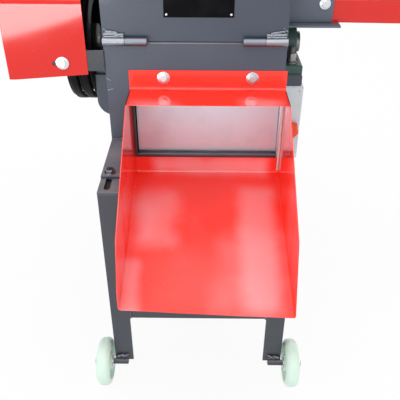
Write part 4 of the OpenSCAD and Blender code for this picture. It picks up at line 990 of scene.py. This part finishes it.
# %% Bearing studs
STUD = 12 * MM
STUD_HEX = 1.6 * STUD
STUD_WASHER_R = 1.1 * STUD
SPRING_WASHER_R = 0.8 * STUD
STUD_WASHER_T = 2.5 * MM
SPRING_WASHER_T = 8.5 * MM
NUT_H = 11 * MM
STUD_END = 1.5 * MM
BLOCK_BASE = 18 * MM
stud_low, stud_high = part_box("bearing_bolts")
block_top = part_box("bearing_block_left")[0].z + BLOCK_BASE
stud = joined("stud_pattern", [
    thread(STUD / 2, stud_low.z, stud_high.z),
    hexagon(STUD_HEX, NUT_H, block_top + STUD_WASHER_T + SPRING_WASHER_T),
    hexagon(STUD_HEX, NUT_H, stud_low.z + STUD_END),
    disc(STUD_WASHER_R, STUD_WASHER_T, block_top),
    disc(SPRING_WASHER_R, SPRING_WASHER_T, block_top + STUD_WASHER_T, 0.8 * MM)])
stud_points = four_corners(stud_low, stud_high, (0, 1), (STUD, STUD))
studs = copies(stud, [Matrix.Translation((x, y, 0)) @ spun("Z", 19 * index + 7)
                      for index, (x, y) in enumerate(stud_points)])
finished("bearing_stud_set", studs, body_of["bearing_bolts"],
         [look_of["bearing_bolts"]], ["bearing_bolts"], 30)

# %% [markdown]
# ## Cast bearing blocks
# A pillow block is one casting: a thick base, a round middle and a foot that joins them. The raw
# shapes are joined, melted together with a voxel remesh and smoothed, which leaves the soft fillets of
# a sand casting. The bore is cut afterwards, so it stays true and clear of the ring.

# %% Bearing blocks
MIDDLE_HALF = 13 * MM
MIDDLE_RADIUS = 38 * MM
BORE_RADIUS = 21.6 * MM
CASTING_VOXEL = 1.5 * MM
rotor_axis = at(0, 377, 620)


def lying_cylinder(x, radius, length):
    shape = primitive("cylinder", vertices=96, radius=radius, depth=length,
                      location=(x, rotor_axis.y, rotor_axis.z), rotation=(0, math.radians(90), 0))
    freeze(shape)
    return shape


for block in ("bearing_block_left", "bearing_block_right"):
    low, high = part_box(block)
    x = (low.x + high.x) / 2
    base = block_shape(low, Vector((high.x, high.y, low.z + BLOCK_BASE)))
    middle = lying_cylinder(x, MIDDLE_RADIUS, 2 * MIDDLE_HALF)
    foot = block_shape(Vector((x - MIDDLE_HALF, rotor_axis.y - MIDDLE_RADIUS, low.z)),
                       Vector((x + MIDDLE_HALF, rotor_axis.y + MIDDLE_RADIUS, rotor_axis.z)))
    casting = joined(block + "_casting", [base, middle, foot])
    modify(casting, "REMESH", mode="VOXEL", voxel_size=CASTING_VOXEL)
    modify(casting, "SMOOTH", factor=0.5, iterations=5)
    bore = lying_cylinder(x, BORE_RADIUS, 2 * (high.x - low.x))
    modify(casting, "BOOLEAN", operation="DIFFERENCE", object=bore, solver="EXACT")
    discard(bore)
    finished(block + "_casting", [casting], body_of[block], [slot_of[block]], [block], 50)

# %% [markdown]
# ## Weld beads
# The frame is welded by hand, and the seams stay rough under the paint. A bead is a row of balls,
# melted together with a voxel remesh, so that it keeps the ripple of the weld pool.

# %% Bead model
# Step from ball to ball and size of a voxel, as shares of the bead's radius.
RIPPLE = 0.85
BEAD_VOXEL = 0.34
LUMP_SCALE = 6 * MM


def bead(start, end, radius):
    """One weld bead between two points, with a radius in millimetres."""
    r = radius * MM
    run = end - start
    count = max(2, round(run.length / (RIPPLE * r)))
    drop = primitive("uv_sphere", segments=12, ring_count=8, radius=r, location=start)
    freeze(drop)
    modify(drop, "ARRAY", count=count, use_relative_offset=False, use_constant_offset=True,
           constant_offset_displace=tuple(run / (count - 1)))
    modify(drop, "REMESH", mode="VOXEL", voxel_size=BEAD_VOXEL * r)
    return drop


def welded(name, body, material, seams, lump=1.1):
    """Lays seams, each with start, end and radius, as one piece; lump is the roughness in millimetres."""
    run = joined(name, [bead(start, end, radius) for start, end, radius in seams])
    lumps = bpy.data.textures.new(name + "_lumps", "CLOUDS")
    lumps.noise_scale = LUMP_SCALE
    modify(run, "DISPLACE", texture=lumps, texture_coords="LOCAL", strength=lump * MM, mid_level=0.5)
    finished(name, [run], body, [material], angle=80)


print("bead model ready")

# %% Welds in their places
welded("hinge_welds_moving", body_of["hinge_knuckles_moving"], "bright_weld", [
    (at(-171, 188.4, 691.5), at(-139, 188.4, 690), 3.4), (at(-168, 189, 696), at(-150, 189, 693.5), 2.4),
    (at(-173, 189.8, 700), at(-169, 189.8, 698), 1.6),
    (at(123, 188.4, 690), at(155, 188.4, 691.5), 3.4), (at(130, 189, 693.5), at(152, 189, 697), 2.4),
    (at(151, 190, 702), at(152, 190, 703), 1.4), (at(155, 189.8, 699), at(157, 189.8, 697), 1.6)], 2.2)
welded("bare_spatter", "frame", "bright_weld", [
    (at(-175, 190.6, 608), at(-168, 190.6, 603), 1.2), (at(-174, 190.6, 584), at(-165, 190.6, 586), 1.1),
    (at(-172.5, 190.8, 469), at(-170.5, 190.8, 469.4), 1.3),
    (at(-173.5, 190.8, 436), at(-172, 190.8, 436), 1.2),
    (at(-170, -4.6, 63), at(-160, -2.6, 65.5), 2.0), (at(-158, -4.2, 63), at(-149, -2.2, 66.5), 2.2),
    (at(149, -2.2, 66.5), at(158, -4.2, 63), 2.2), (at(160, -2.6, 65.5), at(170, -4.6, 63), 2.0)], 2.6)
welded("frame_welds", "frame", "weld_metal", [
    (at(-132, 188.8, 672), at(-99, 188.8, 672), 2.6), (at(83, 188.8, 672), at(116, 188.8, 672), 2.6),
    (at(-137.5, 3, 170), at(-137.5, 3, 204), 2.4), (at(137.5, 3, 170), at(137.5, 3, 204), 2.4),
    (at(-172, -0.5, 57), at(-150, -0.5, 57), 2.8), (at(150, -0.5, 57), at(172, -0.5, 57), 2.8),
    (at(-172, -0.5, 43.5), at(-150, -0.5, 43.5), 2.4), (at(150, -0.5, 43.5), at(172, -0.5, 43.5), 2.4),
    (at(-176, 286, 500), at(-176, 286, 566), 2.6), (at(161, 286, 557), at(161, 286, 567), 2.4),
    (at(-134, 190.5, 476), at(-134, 190.5, 448), 2.6),
    (at(-174, 190.5, 479), at(-140, 190.5, 479), 2.4), (at(-136, 52, 473.5), at(-136, 80, 473.5), 2.0),
    (at(-136, 120, 473.5), at(-136, 150, 473.5), 2.0), (at(162, 254, 686), at(162, 282, 686), 2.4),
    (at(162, 470, 686), at(162, 498, 686), 2.4), (at(-170, 691, 361), at(-146, 691, 361), 2.6),
    (at(-172, 504.5, 311), at(-142, 504.5, 311), 2.6), (at(142, 504.5, 311), at(172, 504.5, 311), 2.6),
    (at(-174, 490.5, 311), at(-142, 490.5, 311), 2.4)])

# %% [markdown]
# ## Strips of sheet
# Narrow strips finish the housing front. A galvanised liner closes the gap between the flap and the
# chute's right wall and runs down over the riser. A slate strip lines the left side and the lower edge
# of the opening, and a galvanised sill closes the slit behind the flap's lower edge. A black strip along
# the foot of the feed box is painted shade for the joint, and a black plate under the slotted rail is
# painted shade seen through the slot. The upper rim of the front plate stands a little proud under the
# cover; its paler paint is partly worn paint and partly a painted highlight.

# %% Strips
slot_floor = (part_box("rail_upper_left")[1].z - 5 * MM) / MM
# Finish, record slot, and each bar as two corners and the width of its broken edge, in millimetres.
STRIPS = {
    "opening_liner": ("dusty_zinc", "galvanised", [
        ((158.6, 187.5, 411), (162.2, 189.3, 585.2), 0.5),
        ((156.1, 188.0, 447), (156.9, 203.0, 585.2), 0.2)]),
    "opening_sill": ("galvanised", "galvanised", [
        ((-124, 204.8, 437), (155.6, 206.0, 453), 0.3),
        ((156.1, 187.9, 440), (159.0, 189.3, 585.2), 0.3)]),
    "opening_jamb": ("frame_paint", "housing_paint", [
        ((-130.4, 188.2, 440), (-125.4, 190.9, 585), 0.5),
        ((-130.4, 188.6, 440), (155.8, 190.9, 445.8), 0.8)]),
    # A black strip at the foot of the feed box: painted shade, which stands for the shadow in the joint.
    "feed_shade_strip": ("knob_black", "housing_paint", [((161, 269.4, 689.4), (251, 270.6, 691.6), 0.3)]),
    # A black plate under the slot: painted shade, which stands for the dark seen through the slot.
    "slot_shade_plate": ("knob_black", "frame_paint", [
        ((-171, 12, slot_floor - 4), (-143, 96, slot_floor), 0.6)]),
    # The rim's paler paint is partly wear and partly a painted highlight.
    "seam_rim": ("housing_edge_wear_and_highlight", "housing_paint", [((-94, 190.2, 673.4), (78, 192.5, 675.8), 0.5)]),
}


def strip(low, high, ease):
    """A bar of sheet between two corners of the drawing, with broken edges."""
    bar = block_shape(at(*low), at(*high))
    break_edges(bar, ease * MM)
    return bar


for name, (look, slot, bars) in STRIPS.items():
    finished(name, [strip(*bar) for bar in bars], "frame", [look])

# %% [markdown]
# ## Small fittings
# The nameplate is held by four rivets, and the switch cover by four slotted screws. Each bearing block
# has a grease nipple, and the switch a five-sided grip. They are small, but the eye measures a machine
# by them.

# %% Nameplate rivets
RIVET_IN = 5 * MM
RIVET_RADIUS = 2.2 * MM
RIVET_FLAT = 0.5


def ball(radius, place=(0, 0, 0), flat=1):
    """A small ball, which may be flattened along Y."""
    shape = primitive("uv_sphere", segments=20, ring_count=12, radius=radius, location=place)
    shape.scale.y = flat
    freeze(shape)
    return shape


plate_low, plate_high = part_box("nameplate")
rivet_points = four_corners(plate_low, plate_high, (0, 2), (RIVET_IN, RIVET_IN))
rivets = copies(ball(RIVET_RADIUS, flat=RIVET_FLAT), [
    Matrix.Translation((x, plate_low.y, z)) for x, z in rivet_points])
finished("nameplate_rivets", rivets, body_of["nameplate"], ["zinc"])

# %% Switch cover screws
SCREW_RADIUS = 3.4 * MM
SCREW_HEIGHT = 1.6 * MM
SCREW_SUNK = 0.4 * MM
SCREW_IN = (6 * MM, 7 * MM)
SLOT_SIZE = Vector((8, 0.9, 1.4)) * MM
FACING_FRONT = spun("X", 90)
cover_low, cover_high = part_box("switch_cover")
screw = disc(SCREW_RADIUS, SCREW_HEIGHT, 0, 0.5 * MM)
slot_middle = Vector((0, 0, SCREW_HEIGHT))
slot_cut = block_shape(slot_middle - SLOT_SIZE / 2, slot_middle + SLOT_SIZE / 2)
modify(screw, "BOOLEAN", operation="DIFFERENCE", object=slot_cut, solver="EXACT")
discard(slot_cut)
screw_places = []
for x, z in four_corners(cover_low, cover_high, (0, 2), SCREW_IN):
    twist = Matrix.Rotation(x * 400 + z * 900, 4, "Z")
    screw_places.append(Matrix.Translation((x, cover_low.y + SCREW_SUNK, z)) @ FACING_FRONT @ twist)
screws = copies(screw, screw_places)
finished("switch_cover_screws", screws, body_of["switch_cover"], ["zinc"], angle=30)

# %% Switch knob
KNOB_RADIUS = 9 * MM
KNOB_BASE = 5 * MM
GRIP_DROP = 4 * MM
GRIP_RADIUS = 13 * MM
GRIP_STRETCH = 1.5
GRIP_TAPER = (0.8, 0.86, 1)
knob_low, knob_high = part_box("switch_knob")
knob_mid = (knob_low + knob_high) / 2
knob_base = disc(KNOB_RADIUS, KNOB_BASE, 0, 0.8 * MM)
grip_height = knob_high.y - knob_low.y - KNOB_BASE
grip_middle = KNOB_BASE + grip_height / 2
grip = primitive("cylinder", vertices=5, radius=1, depth=1, location=(0, -GRIP_DROP, grip_middle))
grip.rotation_euler.z = math.radians(36)
grip.scale = (GRIP_RADIUS, GRIP_RADIUS, grip_height)
freeze(grip)
whole(grip)
bpy.ops.transform.resize(value=(1, GRIP_STRETCH, 1), center_override=(0, -GRIP_DROP, 0))
done()
pick(grip, faces=lambda corners: all(p.z > grip_middle for p in corners))
bpy.ops.transform.resize(value=GRIP_TAPER)
done()
break_edges(grip, 1.4 * MM, 3)
for shape, look in ((knob_base, "knob_black"), (grip, "switch_red")):
    shape.data.materials.append(finishes[look])
knob = joined("switch_knob_grip", [knob_base, grip])
knob.data.transform(Matrix.Translation((knob_mid.x, knob_high.y, knob_mid.z)) @ FACING_FRONT)
finished("switch_knob_grip", [knob], body_of["switch_knob"],
         stands_for=["switch_knob"])

# %% Grease nipples
nipple_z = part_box("bearing_block_left")[1].z
nipple = joined("nipple_pattern", [
    hexagon(7 * MM, 4 * MM, nipple_z - 0.5 * MM), disc(2.2 * MM, 5 * MM, nipple_z + 3 * MM),
    ball(2.8 * MM, (0, 0, nipple_z + 8.5 * MM))])
nipple_places = []
for block in ("bearing_block_left", "bearing_block_right"):
    block_low, block_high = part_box(block)
    middle = (block_low + block_high) / 2
    nipple_places.append(Matrix.Translation((middle.x, middle.y, block_high.z - nipple_z)))
finished("grease_nipples", copies(nipple, nipple_places), "frame", ["zinc"])
